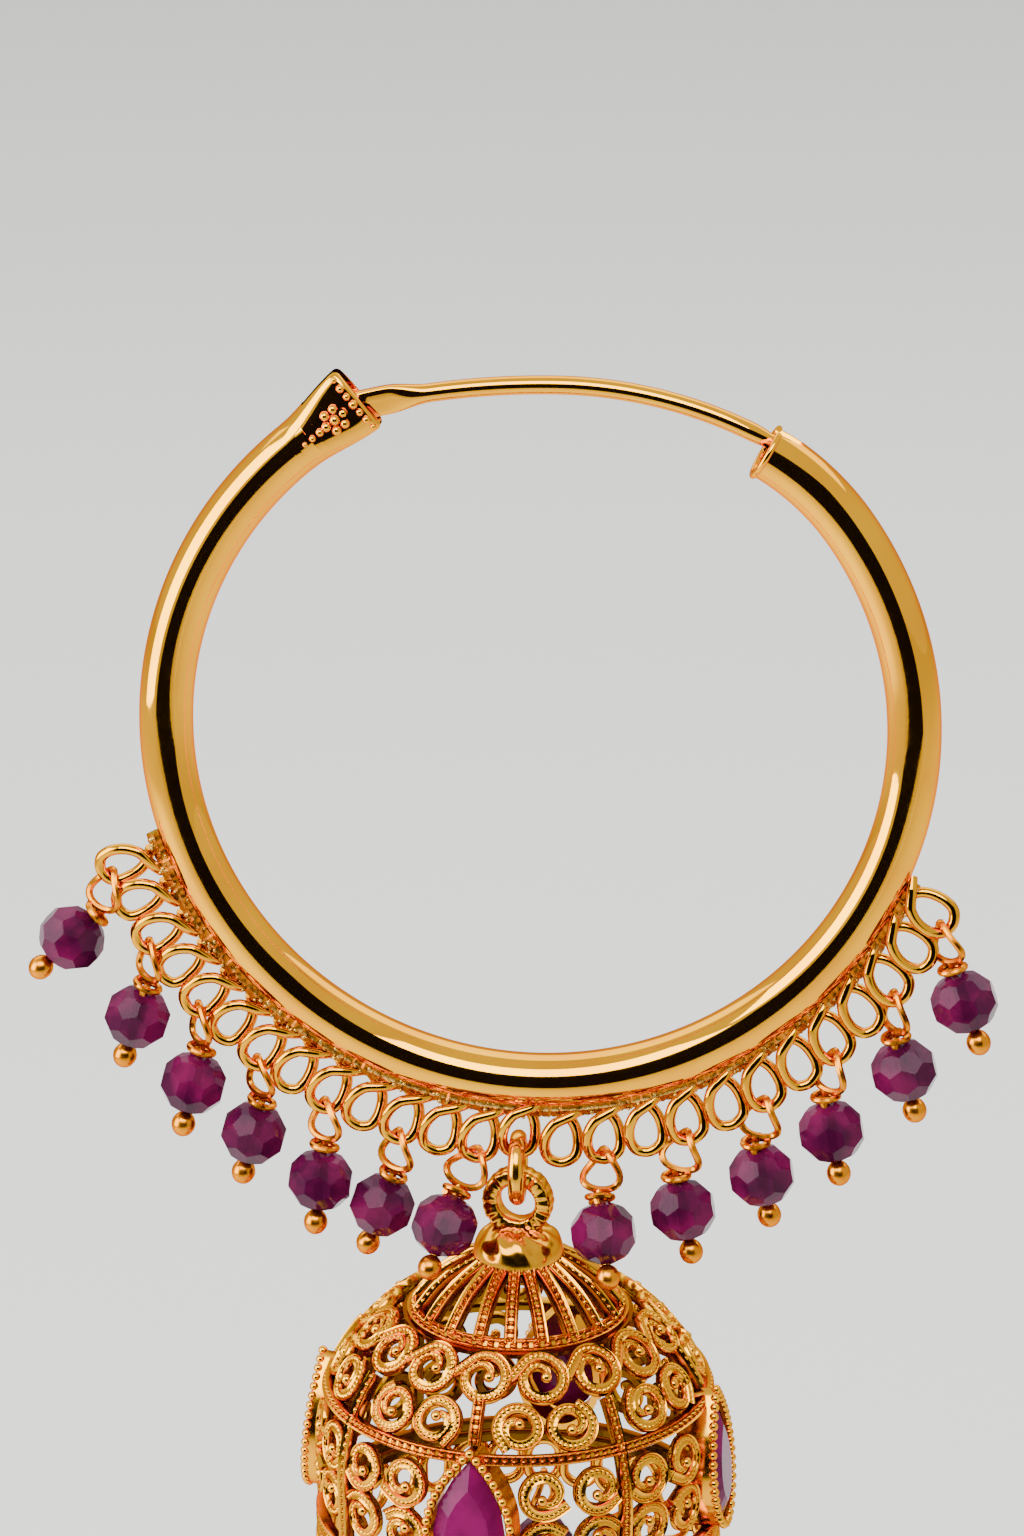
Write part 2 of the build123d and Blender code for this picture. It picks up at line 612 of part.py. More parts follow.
write("bell", BELL_PLACE * bell_solid())
stone = stone_solid()
for number in range(STONE_COUNT):
    place = stone_frame(number) * Pos(0, 0, -STONE_SUNK)
    write(f"pear_stone_{number + 1}", BELL_PLACE * (place * stone))

rim_top = Vector(0, -RIM_LACE_R, HANG_TOP - RIM_LOOP_DROP - LOOP_HALF_STRAIGHT - LOOP_HALF_WIDTH)
straight_down = Vector(0, 0, -1)
rim_pin = drop_pin(rim_top, straight_down, straight_down, 90)
rim_bead = drop_bead(bead, rim_top, straight_down, straight_down)
spins = [Rot(0, 0, (number + 0.25) * 360 / RIM_DROPS) for number in range(RIM_DROPS)]
write("rim_pins", Compound([BELL_PLACE * spin * rim_pin for spin in spins]))
write("rim_beads", Compound([BELL_PLACE * spin * rim_bead for spin in spins]))
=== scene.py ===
"""Looks of a hoop earring with a pierced, fringed bell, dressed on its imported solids.

Sizes are in millimetres in the part's own frame, and become metres only when a mesh is made.
The hoop lies in the XZ plane, -Y is its front and +Z is up. A clock angle runs from the top
of the hoop towards +X. On the bell an azimuth runs from the front towards +X, and a drop is
a level below the middle of the bell's ring.
"""
import logging
from dataclasses import dataclass, field
from enum import Enum

import bpy
import numpy as np
from mathutils import Matrix, Vector


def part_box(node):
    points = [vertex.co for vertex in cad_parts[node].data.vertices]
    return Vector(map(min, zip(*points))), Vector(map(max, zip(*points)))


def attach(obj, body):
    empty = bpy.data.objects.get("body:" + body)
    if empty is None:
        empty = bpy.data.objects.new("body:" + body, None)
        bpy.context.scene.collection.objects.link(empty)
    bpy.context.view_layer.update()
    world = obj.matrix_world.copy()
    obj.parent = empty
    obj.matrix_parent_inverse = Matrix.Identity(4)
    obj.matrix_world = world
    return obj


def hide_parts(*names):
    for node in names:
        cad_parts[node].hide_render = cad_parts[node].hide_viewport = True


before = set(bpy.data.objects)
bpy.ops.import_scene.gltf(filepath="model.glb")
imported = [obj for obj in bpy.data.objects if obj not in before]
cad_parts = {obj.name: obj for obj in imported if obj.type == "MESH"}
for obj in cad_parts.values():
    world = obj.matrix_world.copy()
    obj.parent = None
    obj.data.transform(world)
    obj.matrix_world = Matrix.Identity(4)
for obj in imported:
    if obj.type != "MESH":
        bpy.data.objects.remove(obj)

MM = 0.001
Array = np.ndarray
Triple = tuple[float, float, float]
Pair = tuple[float, float]
FRONT = np.array([0.0, -1.0, 0.0])
UP = np.array([0.0, 0.0, 1.0])

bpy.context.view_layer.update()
logging.basicConfig(level=logging.INFO, format="%(message)s")
log = logging.getLogger("earring")


class Body(Enum):
    """The rigid bodies of the earring."""

    HOOP = "hoop_body"
    EAR_WIRE = "ear_wire_body"
    LINK = "link_body"
    BELL = "bell_body"


class Slot(Enum):
    """The finishes that the record names."""

    POLISHED = "polished_gold"
    CAST = "cast_gold"
    PIN = "pin_gold"
    BEAD = "bead_glass"
    PEAR = "pear_glass"


# ---------------------------------------------------------------- surfaces

@dataclass
class Surface:
    """Points in millimetres with the four-sided and three-sided faces between them.

    recess says how deep each point lies in the ornament, from 0 on a rubbed high place
    to 1 in a hollow where polish and cloth don't reach; the gold finishes darken it there
    with tarnish and with painted shade.
    """

    points: Array
    quads: Array = field(default_factory=lambda: np.zeros((0, 4), int))
    triangles: Array = field(default_factory=lambda: np.zeros((0, 3), int))
    recess: Array | None = None

    def depths(self) -> Array:
        """The recess of every point, 0 where none was given."""
        return np.zeros(len(self.points)) if self.recess is None else self.recess

    def shaded(self, recess: float) -> "Surface":
        """The same surface with one recess all over."""
        return Surface(self.points, self.quads, self.triangles, np.full(len(self.points), recess))

    def corners(self) -> Array:
        """All faces as triangles, each quad cut along one diagonal."""
        halves = [self.quads[:, [0, 1, 2]], self.quads[:, [0, 2, 3]], self.triangles]
        return np.concatenate(halves)

    def outward(self) -> "Surface":
        """The same closed surface with its faces pointing out.

        The enclosed volume is the sum over triangles of a . (b x c) / 6, and it is
        negative where the faces point in.

        Returns:
            This surface, or one with every face turned round.
        """
        a, b, c = np.moveaxis(self.points[self.corners()] - self.points[0], 1, 0)
        if np.einsum("ij,ij->i", a, np.cross(b, c)).sum() < 0:
            return Surface(self.points, self.quads[:, ::-1], self.triangles[:, ::-1], self.recess)
        return self

    def moved(self, turn: Array, shift: Array) -> "Surface":
        """The surface turned by a 3 by 3 matrix and then shifted."""
        return Surface(self.points @ turn.T + shift, self.quads, self.triangles, self.recess)


def joined(parts: list[Surface]) -> Surface:
    """Several surfaces as one.

    Args:
        parts: the surfaces, each closed by itself.

    Returns:
        One surface whose face indices follow the stacked points.
    """
    starts = np.cumsum([0] + [len(part.points) for part in parts[:-1]])
    return Surface(
        np.concatenate([part.points for part in parts]),
        np.concatenate([part.quads + start for part, start in zip(parts, starts)]),
        np.concatenate([part.triangles + start for part, start in zip(parts, starts)]),
        np.concatenate([part.depths() for part in parts]),
    )


def copies(part: Surface, turns: Array, shifts: Array) -> Surface:
    """Many placed copies of one surface, worked out as one array.

    Args:
        part: the surface to repeat.
        turns: rotation matrices, (k, 3, 3).
        shifts: positions, (k, 3).

    Returns:
        The k copies as one surface: each point is turn . point + shift.
    """
    count = len(turns)
    points = np.einsum("kij,nj->kni", turns, part.points) + shifts[:, None, :]
    starts = (np.arange(count) * len(part.points))[:, None, None]
    return Surface(
        points.reshape(-1, 3),
        (part.quads[None] + starts).reshape(-1, 4),
        (part.triangles[None] + starts).reshape(-1, 3),
        np.tile(part.depths(), count),
    )


def sized(sizes: Array) -> Array:
    """Matrices that scale by each of several sizes."""
    return np.eye(3)[None] * sizes[:, None, None]


def about_z(degrees: Array) -> Array:
    """Rotation matrices about Z.

    Args:
        degrees: one angle or an array of them.

    Returns:
        The matrices, (k, 3, 3).
    """
    angle = np.radians(np.atleast_1d(degrees))
    turn = np.zeros((len(angle), 3, 3))
    turn[:, 0, 0] = turn[:, 1, 1] = np.cos(angle)
    turn[:, 1, 0] = np.sin(angle)
    turn[:, 0, 1] = -np.sin(angle)
    turn[:, 2, 2] = 1
    return turn


def repeated(part: Surface, count: int, start: float = 0.0) -> Surface:
    """Copies of a surface, set evenly about the Z axis.

    Args:
        part: the surface as it stands at the angle 0.
        count: the number of copies.
        start: the first copy's angle, as a share of the step to the next.

    Returns:
        The copies as one surface.
    """
    turns = about_z((np.arange(count) + start) * 360 / count)
    return copies(part, turns, np.zeros((count, 3)))


def lattice(rows: int, columns: int, closed_rows: bool) -> Array:
    """Quads of a grid of points whose columns close on themselves.

    Args:
        rows: number of rings.
        columns: points in each ring.
        closed_rows: whether the last ring joins the first.

    Returns:
        Indices (n, 4), each quad running along a ring and then to the next ring.
    """
    row = np.arange(rows if closed_rows else rows - 1)[:, None]
    column = np.arange(columns)[None, :]
    here, next_row = row * columns, (row + 1) % rows * columns
    beside = (column + 1) % columns
    quads = [here + column, here + beside, next_row + beside, next_row + column]
    return np.stack(quads, axis=-1).reshape(-1, 4)


def rings(grid: Array, closed: bool) -> Surface:
    """A closed surface through rings of points.

    Args:
        grid: points, (rows, columns, 3), each row a closed ring.
        closed: whether the rings themselves close into a loop. If not, each end is
            closed by a fan about the middle of its ring.

    Returns:
        The surface, its faces pointing out.
    """
    rows, columns = grid.shape[:2]
    points = grid.reshape(-1, 3)
    quads = lattice(rows, columns, closed)
    if closed:
        return Surface(points, quads).outward()
    column = np.arange(columns)
    beside = (column + 1) % columns
    first, last = len(points), len(points) + 1
    start = (rows - 1) * columns
    fans = [
        np.stack([np.full(columns, first), beside, column], axis=-1),
        np.stack([np.full(columns, last), start + column, start + beside], axis=-1),
    ]
    points = np.concatenate([points, grid[0].mean(0)[None], grid[-1].mean(0)[None]])
    return Surface(points, quads, np.concatenate(fans)).outward()


def unit(vectors: Array) -> Array:
    """Vectors scaled to length one."""
    return vectors / np.linalg.norm(vectors, axis=-1, keepdims=True)


def ramp(value: Array, start: float, reach: float) -> Array:
    """How far a value has gone from a start over a reach, kept between 0 and 1."""
    return np.clip((value - start) / reach, 0, 1)


def eased(share: Array) -> Array:
    """A share from 0 to 1 that starts and stops gently, s^2 (3 - 2 s)."""
    return share * share * (3 - 2 * share)


def signed_power(value: Array, power: Array) -> Array:
    """The size of a value raised to a power, with the value's own sign."""
    return np.sign(value) * np.abs(value) ** power


def full_turn(count: int) -> Array:
    """Evenly spaced angles of one turn, in radians, from 0."""
    return np.linspace(0, 2 * np.pi, count, endpoint=False)


def ripple(angle: Array, waves: tuple) -> Array:
    """A sum of sines, height * sin(count * angle + start) for each wave.

    Args:
        angle: angles of any shape.
        waves: rows of height, count and start, each a number or an array of that shape.

    Returns:
        The sum at each angle.
    """
    return sum(height * np.sin(count * angle + start) for height, count, start in waves)


def carried(path: Array, section: Array, up: Array, closed: bool = False) -> Surface:
    """A section carried along a path.

    The side of each section is up x along, so a section drawn as (side, up) keeps its
    top towards the given up direction: point = path + side * s + up * u.

    Args:
        path: points, (n, 3).
        section: one outline (m, 2), or one for each point (n, m, 2), as (side, up).
        up: the rough up direction, (3,) or (n, 3).
        closed: whether the path is a loop.

    Returns:
        The closed surface of the bar, its faces pointing out.
    """
    if closed:
        along = unit(np.roll(path, -1, axis=0) - np.roll(path, 1, axis=0))
    else:
        along = unit(np.gradient(path, axis=0))
    up = np.broadcast_to(up, path.shape)
    up = unit(up - along * np.sum(up * along, axis=1, keepdims=True))
    side = np.cross(up, along)
    outline = np.broadcast_to(section, (len(path),) + section.shape[-2:])
    grid = path[:, None] + outline[..., :1] * side[:, None] + outline[..., 1:] * up[:, None]
    return rings(grid, closed)


def round_section(radius: float, sides: int) -> Array:
    """A circle as a section outline."""
    turn = np.arange(sides) * 2 * np.pi / sides
    return radius * np.stack([np.cos(turn), np.sin(turn)], axis=-1)


def turned(outline: Array, segments: int) -> Surface:
    """A ring-shaped solid turned about Z.

    A point (r, h) of the outline goes round as (r cos t, r sin t, h).

    Args:
        outline: closed outline, (n, 2), as radius and height.
        segments: number of steps round.

    Returns:
        The closed surface, its faces pointing out.
    """
    turn = full_turn(segments)[:, None]
    radius, height = outline[None, :, 0], outline[None, :, 1]
    grid = np.stack([radius * np.cos(turn), radius * np.sin(turn), height + 0 * turn], axis=-1)
    return rings(grid, True)


def polar(surface: Surface) -> tuple[Array, Array]:
    """Angle about Z, in radians, and distance from Z of each point."""
    x, y = surface.points[:, 0], surface.points[:, 1]
    return np.arctan2(y, x), np.linalg.norm(surface.points[:, :2], axis=1)


def ball(radius: float, sides: int, levels: int, stretch: float = 1.0) -> Surface:
    """A ball about the origin with closed poles, stretched along Z.

    At the latitude b its ring has the radius R cos b and the height R stretch sin b.

    Args:
        radius: radius across Z.
        sides: points in each ring.
        levels: number of rings between the poles.
        stretch: height as a share of the width.

    Returns:
        The closed surface, its faces pointing out.
    """
    level = np.linspace(-np.pi / 2, np.pi / 2, levels + 2)[1:-1, None, None]
    ring = np.append(round_section(radius, sides), np.zeros((sides, 1)), axis=1)
    surface = rings(np.cos(level) * ring + np.sin(level) * radius * stretch * UP, False)
    surface.points[-2:, 2] = [-radius * stretch, radius * stretch]
    return surface


def resampled(path: Array, count: int, closed: bool) -> tuple[Array, float]:
    """A path with evenly spaced points.

    Args:
        path: points, (n, k), where the first three columns are the position and any
            others, such as normals, are carried with them.
        count: number of points wanted.
        closed: whether the path is a loop.

    Returns:
        The new points, and the path's length.
    """
    line = np.concatenate([path, path[:1]]) if closed else path
    steps = np.linalg.norm(np.diff(line[:, :3], axis=0), axis=1)
    run = np.append(0, np.cumsum(steps))
    wanted = np.linspace(0, run[-1], count, endpoint=not closed)
    columns = [np.interp(wanted, run, line[:, column]) for column in range(line.shape[1])]
    return np.stack(columns, axis=-1), float(run[-1])


def smooth(knots: Array, steps: int) -> Array:
    """A Catmull-Rom curve through knots, with its ends on the first and last.

    Between knots b and c, with neighbours a and d and u from 0 to 1, the curve is
    b + u (c - a) / 2 + u^2 (a - 2.5 b + 2 c - d / 2) + u^3 (1.5 (b - c) + (d - a) / 2).

    Args:
        knots: the knots, (n, k).
        steps: points from each knot to the next.

    Returns:
        The points of the curve, (m, k).
    """
    padded = np.concatenate([2 * knots[:1] - knots[1:2], knots, 2 * knots[-1:] - knots[-2:-1]])
    a, b, c, d = (padded[start:len(padded) - 3 + start, None] for start in range(4))
    u = (np.arange(steps) / steps)[None, :, None]
    bend = a - 2.5 * b + 2 * c - d / 2
    twist = 1.5 * (b - c) + (d - a) / 2
    curve = b + u * (c - a) / 2 + u ** 2 * bend + u ** 3 * twist
    return np.concatenate([curve.reshape(-1, knots.shape[1]), knots[-1:]])


@dataclass(frozen=True)
class BeadedWire:
    """Milgrain wire: two fine rails with a row of small beads pressed between them.

    pitch is the distance between beads, and shift moves their row to one side, as a
    share of the width. trough is the level between the rails, as a share of the height,
    and the field after it gives the recess there, which paints shade and tarnish into the
    trough. Over its last part, past the share full, the wire narrows to the share end.
    """

    width: float
    height: float
    pitch: float
    samples: int = 5
    shift: float = 0.0
    trough: float = 0.16
    shade_and_tarnish: float = 1.0
    end: float = 1.0
    full: float = 0.65

    def outline(self, rise: Array, way: float) -> Array:
        """Section outlines of the wire at a row of places along it.

        From the right rail over the row of beads to the left rail and back underneath,
        each point is a share of width and height. The row's middle stands up by rise.

        Args:
            rise: how far a bead stands up at each place, from 0 to 1, (n,).
            way: 1 or -1, the side to which the row of beads is moved.

        Returns:
            The outlines as (side, up), (n, 15, 2).
        """
        row = self.shift * way
        side = np.array([
            0.5, 0.5, 0.42, 0.33, row + 0.19, row + 0.1, row, row - 0.1, row - 0.19,
            -0.33, -0.42, -0.5, -0.5, -0.3, 0.3,
        ])
        low = self.trough
        up = np.array([-0.3, 0.28, 0.48, 0.42, low, low, low, low, low, 0.42, 0.48, 0.28, -0.3, -0.5, -0.5])
        tops = up[None] + self.lift()[None] * rise[:, None] * (0.5 - low)
        sides = np.broadcast_to(side, tops.shape)
        return np.stack([sides * self.width, tops * self.height], axis=-1)

    def lift(self) -> Array:
        """How much of a bead's rise each point of the outline takes."""
        return np.array([0, 0, 0, 0, 0, 0.75, 1, 0.75, 0, 0, 0, 0, 0, 0, 0])

    def shade_and_tarnish_profile(self) -> Array:
        """The recess of each point of the outline: rails light, and troughs and foot dark with painted shade
        and tarnish.

        Returns:
            One value for each point of the outline, for a wire without beads.
        """
        flank = np.array([1.0, 0.4, 0.0, 0.1, 1.0, 0.6, 0.3, 0.6, 1.0, 0.1, 0.0, 0.4, 1.0, 1.0, 1.0])
        flank[1:12] *= self.shade_and_tarnish
        return flank

    def along(self, path: Array, up: Array, closed: bool = False, way: float = 1.0) -> Surface:
        """The wire along a path, its beads facing up.

        The beads are the upper part of a cosine of the distance run, so one stands up
        in each pitch: rise = 0.4 + 0.8 cos(2 pi (run / pitch - 1/2)), between 0 and 1.

        Args:
            path: points, (n, 3).
            up: the direction of the beads, (3,) or (n, 3).
            closed: whether the path is a loop.
            way: 1 or -1, the side to which the row of beads is moved.

        Returns:
            The wire, with its recess.
        """
        both = np.concatenate([path, np.broadcast_to(up, path.shape)], axis=1)
        length = resampled(both, 2, closed)[1]
        beads = max(int(round(length / self.pitch)), 1)
        count = beads * self.samples + (0 if closed else 1)
        both, length = resampled(both, count, closed)
        phase = np.arange(count) / self.samples
        rise = np.clip(0.4 + 0.8 * np.cos(2 * np.pi * (phase - 0.5)), 0, 1)
        narrow = np.interp(np.linspace(0, 1, count), [0, self.full, 1], [1, 1, self.end])
        wire = carried(both[:, :3], self.outline(rise, way) * narrow[:, None, None], both[:, 3:], closed)
        # Painted shade and tarnish: less on the tops of the beads, most in the troughs and under the wire.
        depth = self.shade_and_tarnish_profile()[None] * (1 - 0.9 * self.lift()[None] * rise[:, None])
        wire.recess = np.append(depth.ravel(), np.ones(len(wire.points) - depth.size))
        return wire


# ---------------------------------------------------------------- finishes

def linear(code: str) -> tuple[float, float, float, float]:
    """An sRGB hex colour as linear light.

    Args:
        code: the colour, as # and six hex digits.

    Returns:
        Red, green and blue, and a full alpha.
    """
    value = np.array([int(code[start:start + 2], 16) for start in (1, 3, 5)]) / 255
    light = np.where(value <= 0.04045, value / 12.92, ((value + 0.055) / 1.055) ** 2.4)
    return (*light.tolist(), 1.0)


def per_mm(size: float) -> float:
    """A texture scale whose features are about a size in millimetres."""
    return 1 / (size * MM)


def add_node(tree: bpy.types.NodeTree, kind: str, settings: dict, links: dict) -> bpy.types.Node:
    """Adds a node.

    Args:
        tree: the node tree.
        kind: the node's type.
        settings: values by socket name or number, or by property name.
        links: output sockets by input socket name or number.

    Returns:
        The new node.
    """
    node = tree.nodes.new(kind)
    for name, value in settings.items():
        if isinstance(name, int) or name in node.inputs:
            node.inputs[name].default_value = value
        else:
            setattr(node, name, value)
    for name, source in links.items():
        tree.links.new(source, node.inputs[name])
    return node


def new_material(name: str) -> tuple[bpy.types.Material, bpy.types.NodeTree, bpy.types.Node]:
    """An empty material.

    Args:
        name: its name.

    Returns:
        The material, its node tree, and its Principled shader, already at the output.
    """
    material = bpy.data.materials.new(name)
    material.use_nodes = True
    tree = material.node_tree
    tree.nodes.clear()
    shader = add_node(tree, "ShaderNodeBsdfPrincipled", {}, {})
    add_node(tree, "ShaderNodeOutputMaterial", {}, {"Surface": shader.outputs["BSDF"]})
    return material, tree, shader


@dataclass(frozen=True)
class Mottle:
    """A colour that drifts between two tones in soft patches of a size in millimetres.

    edge is how far from the middle of the noise each tone is reached.
    """

    light: str
    deep: str
    patch: float
    edge: float

    def colour(self, tree: bpy.types.NodeTree, where: bpy.types.NodeSocket) -> bpy.types.NodeSocket:
        """The drifting colour.

        Args:
            tree: the node tree.
            where: the coordinates that it follows.

        Returns:
            The colour's output socket.
        """
        noise = {"Scale": per_mm(self.patch), "Detail": 3.0}
        patches = add_node(tree, "ShaderNodeTexNoise", noise, {"Vector": where}).outputs["Fac"]
        tones = add_node(tree, "ShaderNodeValToRGB", {}, {"Fac": patches})
        deep, light = tones.color_ramp.elements
        deep.position, deep.color = 0.5 - self.edge, linear(self.deep)
        light.position, light.color = 0.5 + self.edge, linear(self.light)
        return tones.outputs["Color"]


@dataclass(frozen=True)
class GoldFinish:
    """Yellow gold plating over brass.

    Metal keeps the default IOR and is fully metallic. Its colour moves a little between
    a light and a deep tone in soft patches, and its grain is a shallow bump. A dark
    colour is mixed in where the recess attribute is high, which draws the ornament: it is
    tarnish, and also painted shade in the hollows. Roughness follows the grain from
    rough_low to rough_high. Patch and grain sizes and the grain's depth are in
    millimetres. edge tints the reflections at a grazing angle.
    """

    name: str
    light: str
    deep: str
    patch: float
    rough_low: float
    rough_high: float
    grain: float
    grain_depth: float
    edge: str
    # The dark colour of tarnish and of painted shade in the hollows.
    tarnish_and_shade_colour: str = "#5C3C12"
    unmarked_recess: float = 0.1
    most_tarnish_and_shade: float = 0.92

    def material(self) -> bpy.types.Material:
        """The finish as a material on Object coordinates.

        Returns:
            The new material.
        """
        material, tree, shader = new_material(self.name)
        where = add_node(tree, "ShaderNodeTexCoord", {}, {}).outputs["Object"]
        plating = Mottle(self.light, self.deep, self.patch, 0.15).colour(tree, where)
        recess = add_node(tree, "ShaderNodeAttribute", {"attribute_name": "recess"}, {}).outputs["Fac"]
        # Painted shade and tarnish: the dark colour comes in as the recess rises.
        shade_and_tarnish = add_node(
            tree, "ShaderNodeMapRange",
            {"From Min": self.unmarked_recess, "From Max": 1.0, "To Min": 0.0, "To Max": self.most_tarnish_and_shade},
            {"Value": recess},
        ).outputs["Result"]
        dressed = add_node(
            tree, "ShaderNodeMixRGB", {"Color2": linear(self.tarnish_and_shade_colour)}, {"Fac": shade_and_tarnish, "Color1": plating}
        ).outputs["Color"]
        tree.links.new(dressed, shader.inputs["Base Color"])
        grain = add_node(
            tree, "ShaderNodeTexNoise", {"Scale": per_mm(self.grain), "Detail": 2.0}, {"Vector": where}
        ).outputs["Fac"]
        rough = add_node(
            tree, "ShaderNodeMapRange",
            {"From Min": 0.3, "From Max": 0.7, "To Min": self.rough_low, "To Max": self.rough_high},
            {"Value": grain},
        )
        tree.links.new(rough.outputs["Result"], shader.inputs["Roughness"])
        bump = add_node(
            tree, "ShaderNodeBump", {"Strength": 1.0, "Distance": self.grain_depth * MM}, {"Height": grain}
        )
        tree.links.new(bump.outputs["Normal"], shader.inputs["Normal"])
        shader.inputs["Metallic"].default_value = 1.0
        shader.inputs["Specular Tint"].default_value = linear(self.edge)
        return material


@dataclass(frozen=True)
class GlassFinish:
    """Cut glass: clear or cloudy body colour under polished facets."""

    name: str
    light: str
    deep: str
    patch: float
    transmission: float
    roughness: float
    ior: float
    gloss: float

    def material(self) -> bpy.types.Material:
        """The finish as a material on Object coordinates.

        Returns:
            The new material.
        """
        material, tree, shader = new_material(self.name)
        where = add_node(tree, "ShaderNodeTexCoord", {}, {}).outputs["Object"]
        clouds = Mottle(self.light, self.deep, self.patch, 0.12).colour(tree, where)
        tree.links.new(clouds, shader.inputs["Base Color"])
        shader.inputs["Transmission Weight"].default_value = self.transmission
        shader.inputs["Roughness"].default_value = self.roughness
        shader.inputs["IOR"].default_value = self.ior
        shader.inputs["Specular IOR Level"].default_value = self.gloss
        return material


# Gold plate on a drawn and buffed tube: mirror bright, with the faintest buffing ripple.
POLISHED_GOLD = GoldFinish(
    "gold plate, buffed tube", "#FCB40A", "#F6A806", patch=5.0, rough_low=0.03, rough_high=0.07,
    grain=0.8, grain_depth=0.002, edge="#F09C00",
)
# Gold plate on lost-wax cast brass: plain plating colour on its high points, and between them a dark colour,
# as tarnish and as painted shade.
CAST_GOLD = GoldFinish(
    "gold plate, cast filigree", "#F6B014", "#EC9C0C", patch=1.8, rough_low=0.1, rough_high=0.2,
    grain=0.5, grain_depth=0.003, edge="#D08400",
)
# Gold plate on soft copper-rich wire with balled ends: warmer and duller than the tube.
WIRE_GOLD = GoldFinish(
    "gold plate, drawn wire", "#E48E04", "#D88200", patch=1.2, rough_low=0.2, rough_high=0.3,
    grain=0.4, grain_depth=0.001, edge="#D08400",
)
# Thin gold plate over hard solder: paler and duller than on brass, and grubby in its pits.
SOLDER_GOLD = GoldFinish(
    "gold plate over hard solder", "#ECC868", "#C4984A", patch=0.8, rough_low=0.18, rough_high=0.34,
    grain=0.4, grain_depth=0.004, edge="#D0A030",
)
# Garnet-coloured glass, cut and polished: half clear, with soft cloudy patches.
GARNET_GLASS = GlassFinish(
    "garnet glass, cut", "#78124A", "#480A32", patch=2.5, transmission=0.45, roughness=0.03,
    ior=1.3, gloss=0.1,
)
# Ruby-coloured opaque glass, cut: hardly clear, with soft cloudy patches.
RUBY_GLASS = GlassFinish(
    "ruby glass, opaque, cut", "#740C4C", "#5C093C", patch=2.0, transmission=0.05, roughness=0.14,
    ior=1.5, gloss=0.1,
)


class Dressing:
    """Makes objects from surfaces and holds the earring's materials."""

    def __init__(self) -> None:
        """Makes one material for each slot."""
        self.materials = {
            Slot.POLISHED: POLISHED_GOLD.material(),
            Slot.CAST: CAST_GOLD.material(),
            Slot.PIN: WIRE_GOLD.material(),
            Slot.BEAD: GARNET_GLASS.material(),
            Slot.PEAR: RUBY_GLASS.material(),
        }

    def piece(
        self, name: str, surface: Surface, body: Body, slot: Slot,
        replaces: tuple[str, ...] = (), crease: float = 40.0,
    ) -> bpy.types.Object:
        """Makes one piece of the earring.

        Args:
            name: the object's name.
            surface: its surface in millimetres, in the part's frame.
            body: the body that it rides on.
            slot: its finish.
            replaces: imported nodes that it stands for.
            crease: edges sharper than this many degrees stay sharp.

        Returns:
            The new object, at the origin.
        """
        loops = np.concatenate([surface.quads.ravel(), surface.triangles.ravel()])
        totals = np.concatenate([np.full(len(surface.quads), 4), np.full(len(surface.triangles), 3)])
        starts = np.append(0, np.cumsum(totals)[:-1])
        mesh = bpy.data.meshes.new(name)
        mesh.vertices.add(len(surface.points))
        mesh.vertices.foreach_set("co", (surface.points * MM).astype(np.float32).ravel())
        mesh.loops.add(len(loops))
        mesh.loops.foreach_set("vertex_index", loops.astype(np.int32))
        mesh.polygons.add(len(totals))
        mesh.polygons.foreach_set("loop_start", starts.astype(np.int32))
        mesh.polygons.foreach_set("loop_total", totals.astype(np.int32))
        mesh.polygons.foreach_set("use_smooth", np.ones(len(totals), bool))
        mesh.update(calc_edges=True)
        mesh.validate()
        mesh.set_sharp_from_angle(angle=np.radians(crease))
        if surface.recess is not None:
            recess = mesh.attributes.new("recess", "FLOAT", "POINT")
            recess.data.foreach_set("value", surface.recess.astype(np.float32))
        mesh.materials.append(self.materials[slot])
        piece = bpy.data.objects.new(name, mesh)
        bpy.context.scene.collection.objects.link(piece)
        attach(piece, body.value)
        if replaces:
            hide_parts(*replaces)
        triangles = 2 * len(surface.quads) + len(surface.triangles)
        log.info("%s: %d triangles on %s", name, triangles, body.value)
        return piece

    def finish_node(self, node: str, slot: Slot) -> None:
        """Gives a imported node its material.

        Args:
            node: the node's name.
            slot: its finish.
        """
        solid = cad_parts[node]
        solid.data.materials.clear()
        solid.data.materials.append(self.materials[slot])


# ---------------------------------------------------------------- hoop

